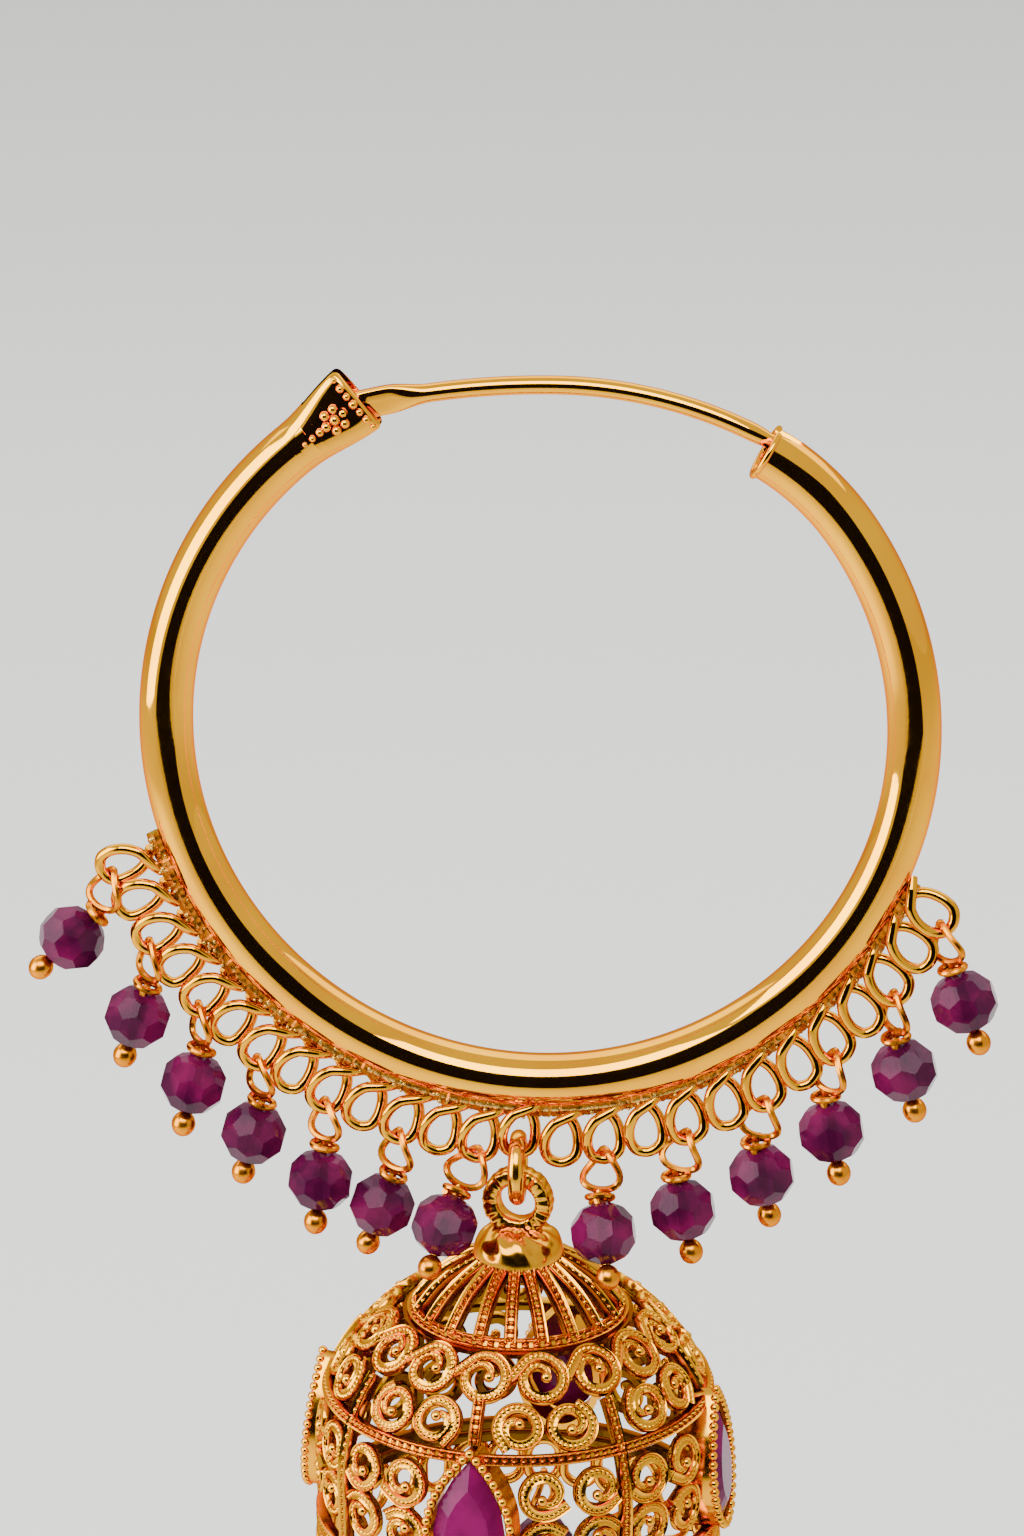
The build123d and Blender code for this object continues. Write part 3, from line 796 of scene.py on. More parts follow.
@dataclass
class HoopLine:
    """The centre line of the hoop's tube, in the XZ plane.

    The distance along it starts at the hinge end: first a straight run, then the round
    of the hoop by way of its bottom, then a tighter bend up to the mouth.
    """

    x: float = 1.2
    z: float = -20.24
    radius: float = 22.0
    straight_clock: float = -40.0
    straight: float = 4.95
    tight_clock: float = 55.0
    tight_radius: float = 15.4
    tight_sweep: float = 25.4

    @property
    def hub(self) -> Array:
        """The middle of the hoop."""
        return np.array([self.x, 0, self.z])

    @property
    def round_length(self) -> float:
        """Length of the round part."""
        return np.radians(360 + self.straight_clock - self.tight_clock) * self.radius

    @property
    def length(self) -> float:
        """Length of the whole line."""
        return self.straight + self.round_length + np.radians(self.tight_sweep) * self.tight_radius

    def on_circle(self, radius: float | Array, clock: Array) -> Array:
        """Points about the hoop's middle.

        Args:
            radius: one radius, or one for each point.
            clock: clock angles in degrees, of any shape.

        Returns:
            The points, with a last axis of 3.
        """
        turn = np.radians(clock)
        return np.stack([self.x + radius * np.sin(turn), 0 * turn, self.z + radius * np.cos(turn)], axis=-1)

    def at(self, run: Array) -> tuple[Array, Array]:
        """Places on the line.

        On each bend the clock angle falls by the distance over the bend's radius, and the
        outward direction is the clock direction itself.

        Args:
            run: distances from the hinge end, of any shape.

        Returns:
            The points and the directions out of the hoop, each with a last axis of 3.
        """
        past = run - self.straight
        beyond = past - self.round_length
        clock = self.straight_clock - np.degrees(np.clip(past, 0, self.round_length) / self.radius)
        clock = clock - np.degrees(np.clip(beyond, 0, None) / self.tight_radius)
        turn = np.radians(clock)
        out = np.stack([np.sin(turn), 0 * turn, np.cos(turn)], axis=-1)
        along = np.stack([-np.cos(turn), 0 * turn, np.sin(turn)], axis=-1)
        tight = self.on_circle(self.radius - self.tight_radius, np.float64(self.tight_clock))
        bend = np.where(
            (beyond > 0)[..., None], tight + self.tight_radius * out, self.hub + self.radius * out
        )
        return bend + np.minimum(past, 0)[..., None] * along, out


def beside(place: Array, out: Array, across: Array, back: Array) -> Array:
    """Points moved off the hoop's line.

    Args:
        place: points on the line, with a last axis of 3.
        out: the directions out of the hoop there.
        across: distances to go out.
        back: distances to go back, along Y.

    Returns:
        The points place + across * out + back * Y.
    """
    moved = place + across[..., None] * out
    moved[..., 1] += back
    return moved


@dataclass
class HoopTube:
    """The hollow tube with its notched mouth, and the flattened hinge end.

    The notch's flanks are eased over notch_ease on both sides of their line, and rows of
    the tube give way to it over its last stretch, mouth_run. The hinge end's rim is
    rounded off by rim_wear over the length rim_run. lip_wire and granule are radii, and
    lip_open is half the angle over which the mouth's lip is left out.
    """

    line: HoopLine
    sides: int = 48
    radius: float = 1.6
    wall: float = 0.35
    tube_from: float = 3.6
    mouth_run: float = 3.2
    lip_bulge: float = 0.08
    lip_wire: float = 0.19
    lip_open: float = 26.0
    notch_half: float = 0.55
    notch_ease: float = 0.15
    notch_length: float = 1.5
    crimp_half_width: float = 2.2
    crimp_half_depth: float = 1.0
    rim_wear: float = 0.3
    rim_run: float = 0.35
    slot_half: float = 0.475
    slot_depth: float = 2.93
    granule: float = 0.25
    rosette_run: float = 1.8
    petal_radius: float = 0.62

    @property
    def crimp_length(self) -> float:
        """Length of the hinge end, which reaches a little way over the tube."""
        return self.line.straight - 0.15

    def tube(self) -> Surface:
        """The tube out to its lip and back inside.

        A point lies at the line plus radius * (cos a * out + sin a * Y). Rows run along
        the outside, round the lip and back along the inner wall, and near the notch the
        rows end short by its length.

        Returns:
            The closed surface of the wall.
        """
        angle = full_turn(self.sides)
        start = self.line.length - self.mouth_run
        outer = np.concatenate([
            np.linspace(self.tube_from, start, 220),
            start + np.linspace(0.1, self.mouth_run - 0.1, 24),
        ])
        # The inner wall goes back well past what the mouth lets show.
        inner = outer[:150:-1]
        lip_turn = np.linspace(0, np.pi, 7)[1:-1]
        lip = self.wall / 2
        edge = self.line.length - self.lip_bulge * (1 - np.sin(lip_turn))
        run = np.concatenate([outer, edge, inner])
        size = np.concatenate([
            np.full(len(outer), self.radius),
            self.radius - lip + lip * np.cos(lip_turn),
            np.full(len(inner), self.radius - self.wall),
        ])[:, None]
        flank = self.notch_half + self.notch_ease - np.abs(np.sin(angle)) * self.radius
        shape = ramp(flank, 0, 2 * self.notch_ease) ** 0.5
        short = np.where((np.cos(angle) > 0) & (flank > 0), self.notch_length * shape, 0)
        stretch = ramp(run, start, self.mouth_run)
        place, out = self.line.at(run[:, None] - short[None] * stretch[:, None])
        return rings(beside(place, out, size * np.cos(angle), size * np.sin(angle)), False)

    def crimp_sizes(self, run: Array) -> tuple[Array, Array, Array]:
        """Sizes of the hinge end along its length.

        With k running from 0 at the tube to 1 at the rim and e = k^2 (3 - 2 k), its half
        width is R + (W - R) e and its half depth R + (D - R) e, so it flows out of the
        tube. A quarter of an ellipse rounds its rim off.

        Args:
            run: distances from the rim.

        Returns:
            Half widths, half depths and the powers of the outline there.
        """
        ease = eased(1 - run / self.crimp_length)
        wide = self.radius + 0.01 + (self.crimp_half_width - self.radius) * ease
        deep = self.radius + 0.01 + (self.crimp_half_depth - self.radius) * ease
        worn = self.rim_wear * (1 - np.sqrt(1 - np.clip(1 - run / self.rim_run, 0, 1) ** 2))
        return wide - worn, deep - worn, 2 + 0.8 * ease

    def crimp_part(self, start: float, stop: float, low: float, high: float) -> Surface:
        """One stretch of the hinge end between two depths.

        Its outline is the superellipse |out / a|^p + |y / b|^p = 1, cut off at the depths.

        Args:
            start: distance of the stretch's start from the rim.
            stop: distance of its other end.
            low: the depth, along Y, at which it is cut off to the front.
            high: the depth at which it is cut off to the back.

        Returns:
            The closed surface of the stretch.
        """
        run = start + (stop - start) * np.linspace(0, 1, 18) ** 2
        half_width, half_depth, power = (size[:, None] for size in self.crimp_sizes(run))
        turn = full_turn(self.sides)
        back = np.clip(half_depth * signed_power(np.sin(turn), 2 / power), low, high)
        reach = half_width * np.clip(1 - np.abs(back / half_depth) ** power, 0, 1) ** (1 / power)
        across = np.clip(half_width * signed_power(np.cos(turn), 2 / power), -reach, reach)
        place, out = self.line.at(run)
        return rings(beside(place[:, None], out[:, None], across, back), False)

    def granules(self) -> Surface:
        """The granules on the front of the hinge end, sunk halfway into it.

        They are a rosette of seven, a row along the rim and three that dwindle towards
        the tube.

        Returns:
            The granules as one surface.
        """
        petal = full_turn(6)
        edge = np.linspace(-0.8, 0.8, 7) * self.crimp_half_width
        middle = self.rosette_run
        run = np.concatenate([
            [middle], middle + self.petal_radius * np.cos(petal), np.full(7, 0.42), np.linspace(2.9, 4.0, 3),
        ])
        across = np.concatenate([[0.0], self.petal_radius * np.sin(petal), edge, np.zeros(3)])
        size = np.concatenate([[1.35], np.full(6, 1.2), [0.8, 1, 0.9, 1.1, 0.9, 1, 0.8], [1, 0.85, 0.65]])
        wide, deep, power = self.crimp_sizes(run)
        place, out = self.line.at(run)
        place = beside(place, out, across, -deep * (1 - np.abs(across / wide) ** power) ** (1 / power))
        return copies(ball(self.granule, 12, 7), sized(size), place)

    def crimp(self) -> Surface:
        """The hinge end: a flattened fishtail, slotted into two ears for the ear wire.

        Returns:
            The ears, the solid part behind them and the granules.
        """
        # Deeper than the end is anywhere, so that nothing is cut off there.
        clear = 5.0
        ear_length = self.slot_depth + 0.2
        ends = joined([
            self.crimp_part(0.0, ear_length, self.slot_half, clear),
            self.crimp_part(0.0, ear_length, -clear, -self.slot_half),
            self.crimp_part(self.slot_depth, self.crimp_length, -clear, clear),
        ])
        return joined([ends.shaded(0.12), self.granules()])

    def lip(self) -> Surface:
        """The rolled lip of the mouth, open where the ear wire goes in.

        Returns:
            A bar of round wire, bent round the tube's end.
        """
        angle = np.radians(np.linspace(self.lip_open, 360 - self.lip_open, 60))
        place, out = self.line.at(np.full(len(angle), self.line.length - 0.12))
        size = self.radius - 0.02
        path = beside(place, out, size * np.cos(angle), size * np.sin(angle))
        return carried(path, round_section(self.lip_wire, 10), path - place)


@dataclass
class LaceRing:
    """A soldered wire loop with straight sides, the unit of both laces."""

    half_width: float = 1.025
    half_straight: float = 0.4
    wire: float = 0.34

    @property
    def half_height(self) -> float:
        """From the loop's middle to its wire's centre line at the top or foot."""
        return self.half_straight + self.half_width

    def surface(self) -> Surface:
        """The loop in round wire, in the XZ plane.

        Its line is two half circles joined by straight sides.

        Returns:
            The closed surface of the wire.
        """
        turn = full_turn(36)
        lift = np.where(np.sin(turn) >= 0, self.half_straight, -self.half_straight)
        path = np.stack([np.cos(turn), 0 * turn, np.sin(turn)], axis=-1) * self.half_width
        path[:, 2] += lift
        return carried(path, round_section(self.wire, 10), -FRONT, True)


# Knots of one turn of the lace's coil: along the hoop, towards the tube, and back.
LACE_TURN = (
    (1.45, 1.95, 0.1), (1.12, 1.82, -0.12), (0.78, 1.7, -0.32), (0.38, 1.56, -0.44),
    (-0.05, 1.4, -0.52), (-0.42, 1.17, -0.54), (-0.8, 0.62, -0.52), (-0.97, 0.0, -0.42),
    (-0.95, -0.6, -0.26), (-0.69, -1.17, -0.1), (0.0, -1.44, 0.0), (0.69, -1.17, 0.1),
    (0.96, -0.6, 0.2), (1.0, 0.0, 0.28), (0.92, 0.6, 0.32), (0.66, 1.15, 0.34),
    (0.22, 1.55, 0.3), (-0.2, 1.85, 0.2),
)
# Waves of the lace's seam along its length: height, count and start.
SEAM_WAVES = ((0.06, 9.1, 0.0), (0.05, 5.3, 1.0), (0.04, 17.3, 0.0))
# The seam's core, a six-sided bar with thin edges: depth, and out of the hoop.
SEAM_SECTION = ((0.12, -0.5), (0.5, 0.0), (0.12, 0.5), (-0.12, 0.5), (-0.5, 0.0), (-0.12, -0.5))


@dataclass
class Lace:
    """The wire loops under the hoop, and the soldered seam that carries them.

    Loops are numbered from the centre one, 0, which stands a little closer to the tube.
    tilt is the turn of a loop about the line to the hoop's middle and lean the most that
    a turn of the coil slumps, both in degrees.
    """

    line: HoopLine
    ring: LaceRing = field(default_factory=LaceRing)
    radius: float = 25.95
    skew: float = 0.35
    centre_radius: float = 25.42
    centre_angle: float = -2.6
    step_left: float = 5.2
    step_right: float = 5.62
    left: int = 13
    right: int = 12
    tilt: float = 10.0
    lean: float = 5.0
    seam_radius: float = 23.85
    seam_overrun: float = 3.0
    granule: float = 0.14
    granules: int = 420
    seed: int = 7

    def angle(self, number: Array) -> Array:
        """Angles of loops from straight down, by their numbers from the centre loop."""
        return self.centre_angle + number * np.where(number < 0, self.step_left, self.step_right)

    def radius_at(self, number: Array) -> Array:
        """Distances of the middles of loops from the hoop's middle, by their numbers."""
        skewed = self.radius - self.skew * np.sin(np.radians(self.angle(number)))
        return np.where(number == 0, self.centre_radius, skewed)

    def centre(self, number: Array) -> Array:
        """Middles of loops, by their numbers."""
        return self.line.on_circle(self.radius_at(number), 180 - self.angle(number))

    def coil(self) -> Surface:
        """The loops, the turns of one flattened coil.

        The front strand of a turn leaves the seam on the right, comes over the top,
        goes down on the left and round the outer end, and goes back up on the right
        behind it. LACE_TURN is bent round the hoop: a place x along is at the angle
        x / radius. The turns slump towards the upright, by (y - lowest y) tan s for
        s = lean * sin(2 * angle).

        Returns:
            The turns, each a closed bar of round wire.
        """
        turn = smooth(np.array(LACE_TURN), 5)
        number = np.arange(-self.left, self.right + 1)
        angle = self.angle(number)
        slump = np.tan(np.radians(self.lean * np.sin(np.radians(2 * angle))))[:, None]
        along = turn[:, 0] + slump * (turn[:, 1] - turn[:, 1].min())
        spread = angle[:, None] + np.degrees(along / self.radius)
        place = self.line.on_circle(self.radius_at(number)[:, None] - turn[:, 1], 180 - spread)
        place[..., 1] += turn[:, 2]
        section = round_section(self.ring.wire, 10)
        return joined([carried(path, section, FRONT) for path in place]).shaded(0.3)

    def strip(self) -> Surface:
        """The soldered seam between tube and coil: a rough core strewn with granules.

        The core's section swells and sinks by sums of sines along its length. The
        granules are small balls at seeded random places on both faces.

        Returns:
            The core and the granules, each granule with a recess of its own.
        """
        ends = self.angle(np.array([-self.left, self.right]))
        start, stop = ends + self.seam_overrun * np.array([-1.0, 1.0])
        angle = np.linspace(start, stop, 420)
        core = self.line.on_circle(self.seam_radius, 180 - angle)
        section = np.array(SEAM_SECTION) * (1 + ripple(angle, SEAM_WAVES)[:, None, None])
        seam = carried(core, section, core - self.line.hub).shaded(0.35)
        chance = np.random.default_rng(self.seed)
        count = self.granules
        spot = chance.uniform(start, stop, count)
        side = np.where(np.arange(count) % 2 == 0, -1.0, 1.0)
        place = self.line.on_circle(chance.uniform(23.6, 24.35, count), 180 - spot)
        place[:, 1] += side * chance.uniform(0.22, 0.4, count)
        grains = copies(ball(self.granule, 8, 4), sized(chance.uniform(0.6, 1.2, count)), place)
        grains.recess = np.repeat(chance.uniform(0.1, 0.4, count), len(grains.points) // count)
        return joined([seam, grains])


# ---------------------------------------------------------------- drops

def cross_ways(hanging_way: Array) -> tuple[Array, Array]:
    """The two directions across a hanging direction.

    Args:
        hanging_way: a direction of length one that points down.

    Returns:
        The direction to the side and the direction to the back.
    """
    side = unit(np.cross(-FRONT, -hanging_way))
    return side, np.cross(-hanging_way, side)


def hanging(lean: float, forward: float) -> Array:
    """A hanging direction.

    Args:
        lean: degrees from straight down towards +X.
        forward: degrees from straight down to the front.

    Returns:
        The direction, of length one.
    """
    side = np.sin(np.radians(lean))
    front = -np.sin(np.radians(forward))
    return np.array([side, front, -np.sqrt(1 - side * side - front * front)])


@dataclass(frozen=True)
class Drop:
    """One small drop: its lace loop, and how its loop and shank hang, in degrees.

    turn and low_turn are the turn of its own loop at the top and at the foot, and tail
    is the length of cut wire left at its wrap.
    """

    loop: int
    loop_lean: float
    shank_lean: float
    forward: float
    turn: float
    low_turn: float
    tail: float = 0.0

    @property
    def loop_way(self) -> Array:
        """The direction in which the loop hangs."""
        return hanging(self.loop_lean, self.forward)

    @property
    def shank_way(self) -> Array:
        """The direction of the shank."""
        return hanging(self.shank_lean, self.forward)


DROPS = (
    #    loop, loop_lean, shank_lean, forward, turn, low_turn, tail
    Drop(-13, -20.0, -45.0, 2.0, -62.0, -30.0),
    Drop(-11, -4.0, -18.0, -3.0, -70.0, -50.0, 0.5),
    Drop(-9, 3.0, -13.5, 3.0, -72.0, -55.0),
    Drop(-7, 4.0, -14.5, -3.0, -66.0, -45.0),
    Drop(-5, -1.5, -6.5, 4.0, -62.0, -35.0),
    Drop(-3, -8.5, -19.0, -3.0, -66.0, -30.0),
    Drop(-1, -24.0, -17.0, 30.0, -58.0, 0.0),
    Drop(2, -3.0, 7.5, 30.0, -58.0, -8.0, 0.9),
    Drop(4, -14.0, 11.5, 3.0, -66.0, -5.0),
    Drop(6, -12.5, 10.5, -3.0, -58.0, -5.0, 0.7),
    Drop(8, -11.5, 10.5, 3.0, -70.0, -38.0, 0.6),
    Drop(10, 2.0, 14.5, -3.0, -72.0, -50.0, 0.5),
    Drop(12, 15.0, 20.0, 2.0, -70.0, -40.0),
)


@dataclass
class HeadPin:
    """A drop's pin: a loop, a turn or so of wrapped wire, a shank and a balled end.

    wire, wrap_wire and ball are radii, loop is half the loop's height and coil the
    radius of the wrapping. wrap_drop goes from the loop's foot to the wrapping,
    bead_drop from there to the bead's middle and ball_drop from there to the ball's.
    """

    wire: float = 0.225
    wrap_wire: float = 0.2
    loop: float = 1.25
    loop_width: float = 1.12
    wrap_drop: float = 0.38
    coil: float = 0.76
    bead_drop: float = 2.24
    ball_drop: float = 2.68
    ball: float = 0.73

    def loop_surface(self, top: Array, drop: Drop) -> Surface:
        """The loop, a rounded triangle that opens towards the bead.

        At a share a of its round, it lies R (1 - cos a) below its top and
        W (sin a - 0.2 sin 2a) to the side, and it twists as it goes down.

        Args:
            top: middle of the wire at the top of the loop.
            drop: how the drop hangs.

        Returns:
            The closed surface of the wire.
        """
        side, back = cross_ways(drop.loop_way)
        angle = full_turn(36)[:, None]
        down = self.loop * (1 - np.cos(angle))
        bend = np.radians(drop.turn + (drop.low_turn - drop.turn) * eased(down / (2 * self.loop)))
        across = side * np.cos(bend) + back * np.sin(bend)
        width = self.loop_width * (np.sin(angle) - 0.2 * np.sin(2 * angle))
        ring = top + drop.loop_way * down + across * width
        return carried(ring, round_section(self.wire, 8), np.cross(across, drop.loop_way), True)

    def wrap_surface(self, wrap: Array, way: Array) -> Surface:
        """The wrapped wire, a wide coil that lies on the bead.

        Its radius grows from 0.7 of the coil's as 1 - 0.3 e^(-8 t) over its turns t.

        Args:
            wrap: middle of the wrapping.
            way: direction of the shank.

        Returns:
            The closed surface of the wire.
        """
        side, back = cross_ways(way)
        turns = np.linspace(0, 1.25, 36)[:, None]
        angle = 2 * np.pi * turns + 1
        spread = self.coil * (1 - 0.3 * np.exp(-turns * 8))
        path = wrap + way * (turns * 0.3 - 0.12) + spread * (np.cos(angle) * side + np.sin(angle) * back)
        return carried(path, round_section(self.wrap_wire, 8), way)

    def surface(self, top: Array, drop: Drop) -> Surface:
        """The whole pin in place.

        Args:
            top: middle of the wire at the top of the loop.
            drop: how the drop hangs.

        Returns:
            The loop, the wrap, the shank, the balled end and any tail.
        """
        way = drop.shank_way
        side, back = cross_ways(way)
        wrap = top + drop.loop_way * (2 * self.loop + self.wrap_drop)
        length = self.bead_drop + self.ball_drop
        shank = wrap + way * np.linspace(-0.4, length, 6)[:, None]
        tip = ball(self.ball, 16, 9, 1.08).moved(np.stack([side, back, -way], axis=1), wrap + way * length)
        parts = [
            self.loop_surface(top, drop),
            self.wrap_surface(wrap, way),
            carried(shank, round_section(self.wire, 8), side),
            tip,
        ]
        if drop.tail:
            foot = wrap + way * 0.15 - back * 0.55 - side * 0.2
            tail = foot + np.linspace(0, drop.tail, 5)[:, None] * unit(way + 0.25 * side)
            parts.append(carried(tail, round_section(self.wrap_wire, 8), side))
        return joined(parts)


@dataclass
class HoopDrops:
    """The small drops along the hoop's lace.

    hang_top is how far a pin's loop stands off the lace wire, centre to centre, and
    hang_share how far the place on the loop follows the loop's own angle.
    """

    lace: Lace
    pin: HeadPin = field(default_factory=HeadPin)
    hang_top: float = 0.61
    hang_share: float = 0.5

    def top(self, drop: Drop) -> Array:
        """Top of a pin's loop, just above the lace wire that carries it.

        It stands off the lace wire along the common normal of the two wires.

        Args:
            drop: the drop.

        Returns:
            The middle of its wire at the top of its loop.
        """
        angle = float(self.lace.angle(np.array(drop.loop)))
        out_turn, down_turn = np.radians(180 - angle), np.radians(180 - self.hang_share * angle)
        out = np.array([np.sin(out_turn), 0, np.cos(out_turn)])
        down = np.array([np.sin(down_turn), 0, np.cos(down_turn)])
        ring = self.lace.ring
        wire = self.lace.centre(np.array(drop.loop)) + out * ring.half_straight + down * ring.half_width
        skew = np.radians(self.lace.tilt)
        along_lace = np.array([-down[2] * np.cos(skew), np.sin(skew), down[0] * np.cos(skew)])
        side, back = cross_ways(drop.loop_way)
        turn = np.radians(drop.turn)
        rise = unit(np.cross(along_lace, side * np.cos(turn) + back * np.sin(turn)))
        return wire + rise * self.hang_top * np.sign(rise[2])

    def pins(self) -> list[Surface]:
        """The pins, in order."""
        return [self.pin.surface(self.top(drop), drop) for drop in DROPS]


# ---------------------------------------------------------------- ear wire and link

@dataclass
class EarWire:
    """The hinged ear wire: an eye, a flat tab, two gentle bends and a thin tip.

    wire and tip are radii. tab_half is the tab's half height by the eye, thickness its
    depth, and filed how much of its front face is filed off for each millimetre down
    from its upper edge.
    """

    crest_x: float = 2.2
    crest_z: float = 0.63
    wire: float = 0.55
    tip: float = 0.45
    hinge_radius: float = 46.0
    hinge_sweep: float = 15.6
    mouth_radius: float = 26.0
    tip_sweep: float = 30.6
    eye: float = 1.0
    eye_ease: float = 0.08
    hole: float = 0.44
    thickness: float = 0.85
    tab_half: float = 0.86
    filed: float = 0.14

    def line(self, clock: Array) -> Array:
        """Points of the wire's centre line: an arc up to the crest and a tighter one down.

        Args:
            clock: angles past the crest in radians, negative towards the hinge.

        Returns:
            The points, with a last axis of 3.
        """
        radius = np.where(clock <= 0, self.hinge_radius, self.mouth_radius)
        x = self.crest_x + radius * np.sin(clock)
        return np.stack([x, 0 * clock, self.crest_z - radius * (1 - np.cos(clock))], axis=-1)

    def pivot(self) -> Array:
        """The hinge's axis in the XZ plane."""
        return self.line(np.radians(-self.hinge_sweep))

    def wire_surface(self) -> Surface:
        """The wire itself.

        Its section is a rounded bar, x = w |cos|^p, y = h |sin|^p, that changes from the
        flat tab into round wire over a few millimetres, thins before the tip and is
        rounded off at its end. Past the eye the tab's front face is filed back towards
        its lower edge, by filed * (h - y).

        Returns:
            The closed surface of the bar.
        """
        clock = np.concatenate([
            np.linspace(0.9 - self.hinge_sweep, -9.0, 26), np.linspace(-8.7, 0, 16),
            np.linspace(0, 27, 26)[1:], np.linspace(27.4, self.tip_sweep, 8),
        ])
        path = self.line(np.radians(clock))
        run = np.linalg.norm(path - self.pivot(), axis=1)
        blend = np.where(clock > 0, 1.0, eased(ramp(run, 2.6, 2.6)))
        thinned = (self.tip - self.wire) * ramp(clock, 26.4, 1.6)
        half = self.thickness / 2
        tall = (self.tab_half + (self.wire - self.tab_half) * blend + thinned)[:, None]
        deep = (half + (self.wire - half) * blend + thinned)[:, None]
        short_of_end = np.clip(self.tip_sweep - clock, 0, 1)
        cap = np.sqrt(np.clip(1 - (1 - short_of_end) ** 2, 0.04, 1))[:, None]
        power = (0.45 + 0.55 * blend)[:, None]
        turn = full_turn(24)
        across = deep * cap * signed_power(np.cos(turn), power)
        up = tall * cap * signed_power(np.sin(turn), power)
        filed = (self.filed * ramp(run, 1.1, 0.3) * (1 - blend))[:, None]
        across = across + filed * (tall - up) * np.clip(-across / deep, 0, 1)
        return carried(path, np.stack([across, up], axis=-1), UP)

    def eye_surface(self) -> Surface:
        """The drilled eye: a thick washer with eased edges about the hinge's axis.

        Returns:
            The closed surface of the washer.
        """
        half = self.thickness / 2
        ease = self.eye_ease
        outline = np.array([
            [self.hole, -half], [self.eye - ease, -half], [self.eye, -half + ease],
            [self.eye, half - ease], [self.eye - ease, half], [self.hole, half],
        ])
        lay = np.array([[1.0, 0, 0], [0, 0, 1.0], [0, -1.0, 0]])
        return turned(outline, 48).moved(lay, self.pivot())


@dataclass
class JumpLink:
    """The round link between the lace and the bell's ring, in the YZ plane."""

    radius: float = 1.8
    wire: float = 0.5

    def surface(self) -> Surface:
        """The link: a circle of round wire, with a hair-thin joint where its ends meet.

        At the joint the wire narrows as 1 - 0.12 e^(-((a - 0.6) / 0.05)^2).

        Returns:
            The closed surface of the link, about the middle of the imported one's box.
        """
        low, high = (np.array(corner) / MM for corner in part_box("jump_link"))
        turn = full_turn(64)
        path = (low + high) / 2 + self.radius * np.stack([0 * turn, np.cos(turn), np.sin(turn)], axis=-1)
        pinch = 1 - 0.12 * np.exp(-((turn - 0.6) / 0.05) ** 2)
        section = round_section(self.wire, 16)[None] * pinch[:, None, None]
        return carried(path, section, np.array([1.0, 0.0, 0.0]), True)


# ---------------------------------------------------------------- bell

@dataclass(frozen=True)
class Scroll:
    """A spiral scroll of the dome.

    azimuth is from a stone's axis and drop is its middle's level. The wire starts on the
    outside at the start angle (degrees from the azimuth direction, anticlockwise), runs
    round by the turns (clockwise where negative) and curls in to a ball. The tail is the
    length of wire that runs on, straight, before the start.
    """

    azimuth: float
    drop: float
    radius: float
    start: float
    turns: float
    tail: float

    def mirrored(self) -> "Scroll":
        """The same scroll on the other side of the stone's axis."""
        return Scroll(-self.azimuth, self.drop, self.radius, 180 - self.start, -self.turns, self.tail)


HALF_PANEL = (
    #      azimuth, drop, radius, start, turns, tail
    Scroll(13.3, 10.2, 1.2, 215.0, -1.42, 0.8),
    Scroll(31.0, 10.2, 1.24, 50.0, -1.42, 0.45),
    Scroll(21.0, 14.0, 1.24, 305.0, -1.2, 0.8),
    Scroll(37.0, 14.0, 1.24, 315.0, -1.2, 0.5),
    Scroll(21.0, 17.1, 1.24, 55.0, 1.2, 0.6),
    Scroll(37.0, 17.1, 1.24, 45.0, 1.2, 0.5),
)
TOP_SCROLL = Scroll(0.0, 7.85, 1.33, 140.0, -1.4, 1.3)
# Dents of the bell's ring, as waves round it: height, count and start.
RING_DENTS = ((0.035, 9, 1.0), (0.035, 14, 2.5), (0.035, 23, 0.0))
# The lip under the cap, from the cap's edge: outwards and up.
CAP_LIP = ((0.0, -0.12), (-0.07, -0.25), (-0.22, -0.32), (-1.2, -0.55))
# The shoulder under the crown's ring: radius and height.
SHOULDER = ((6.0, -7.1), (6.5, -7.05), (7.0, -7.08), (6.95, -7.35), (6.0, -7.5))
# The wall of a bezel: across it, and out of the stone's face.
BEZEL_SECTION = ((0.2, -1.2), (0.2, 0.85), (-0.2, 0.85), (-0.2, -1.2))
# How a drop under the rim hangs: straight down, the top of its loop set across the rim.
RIM_DROP = Drop(0, 0.0, 0.0, 0.0, 90.0, 60.0)


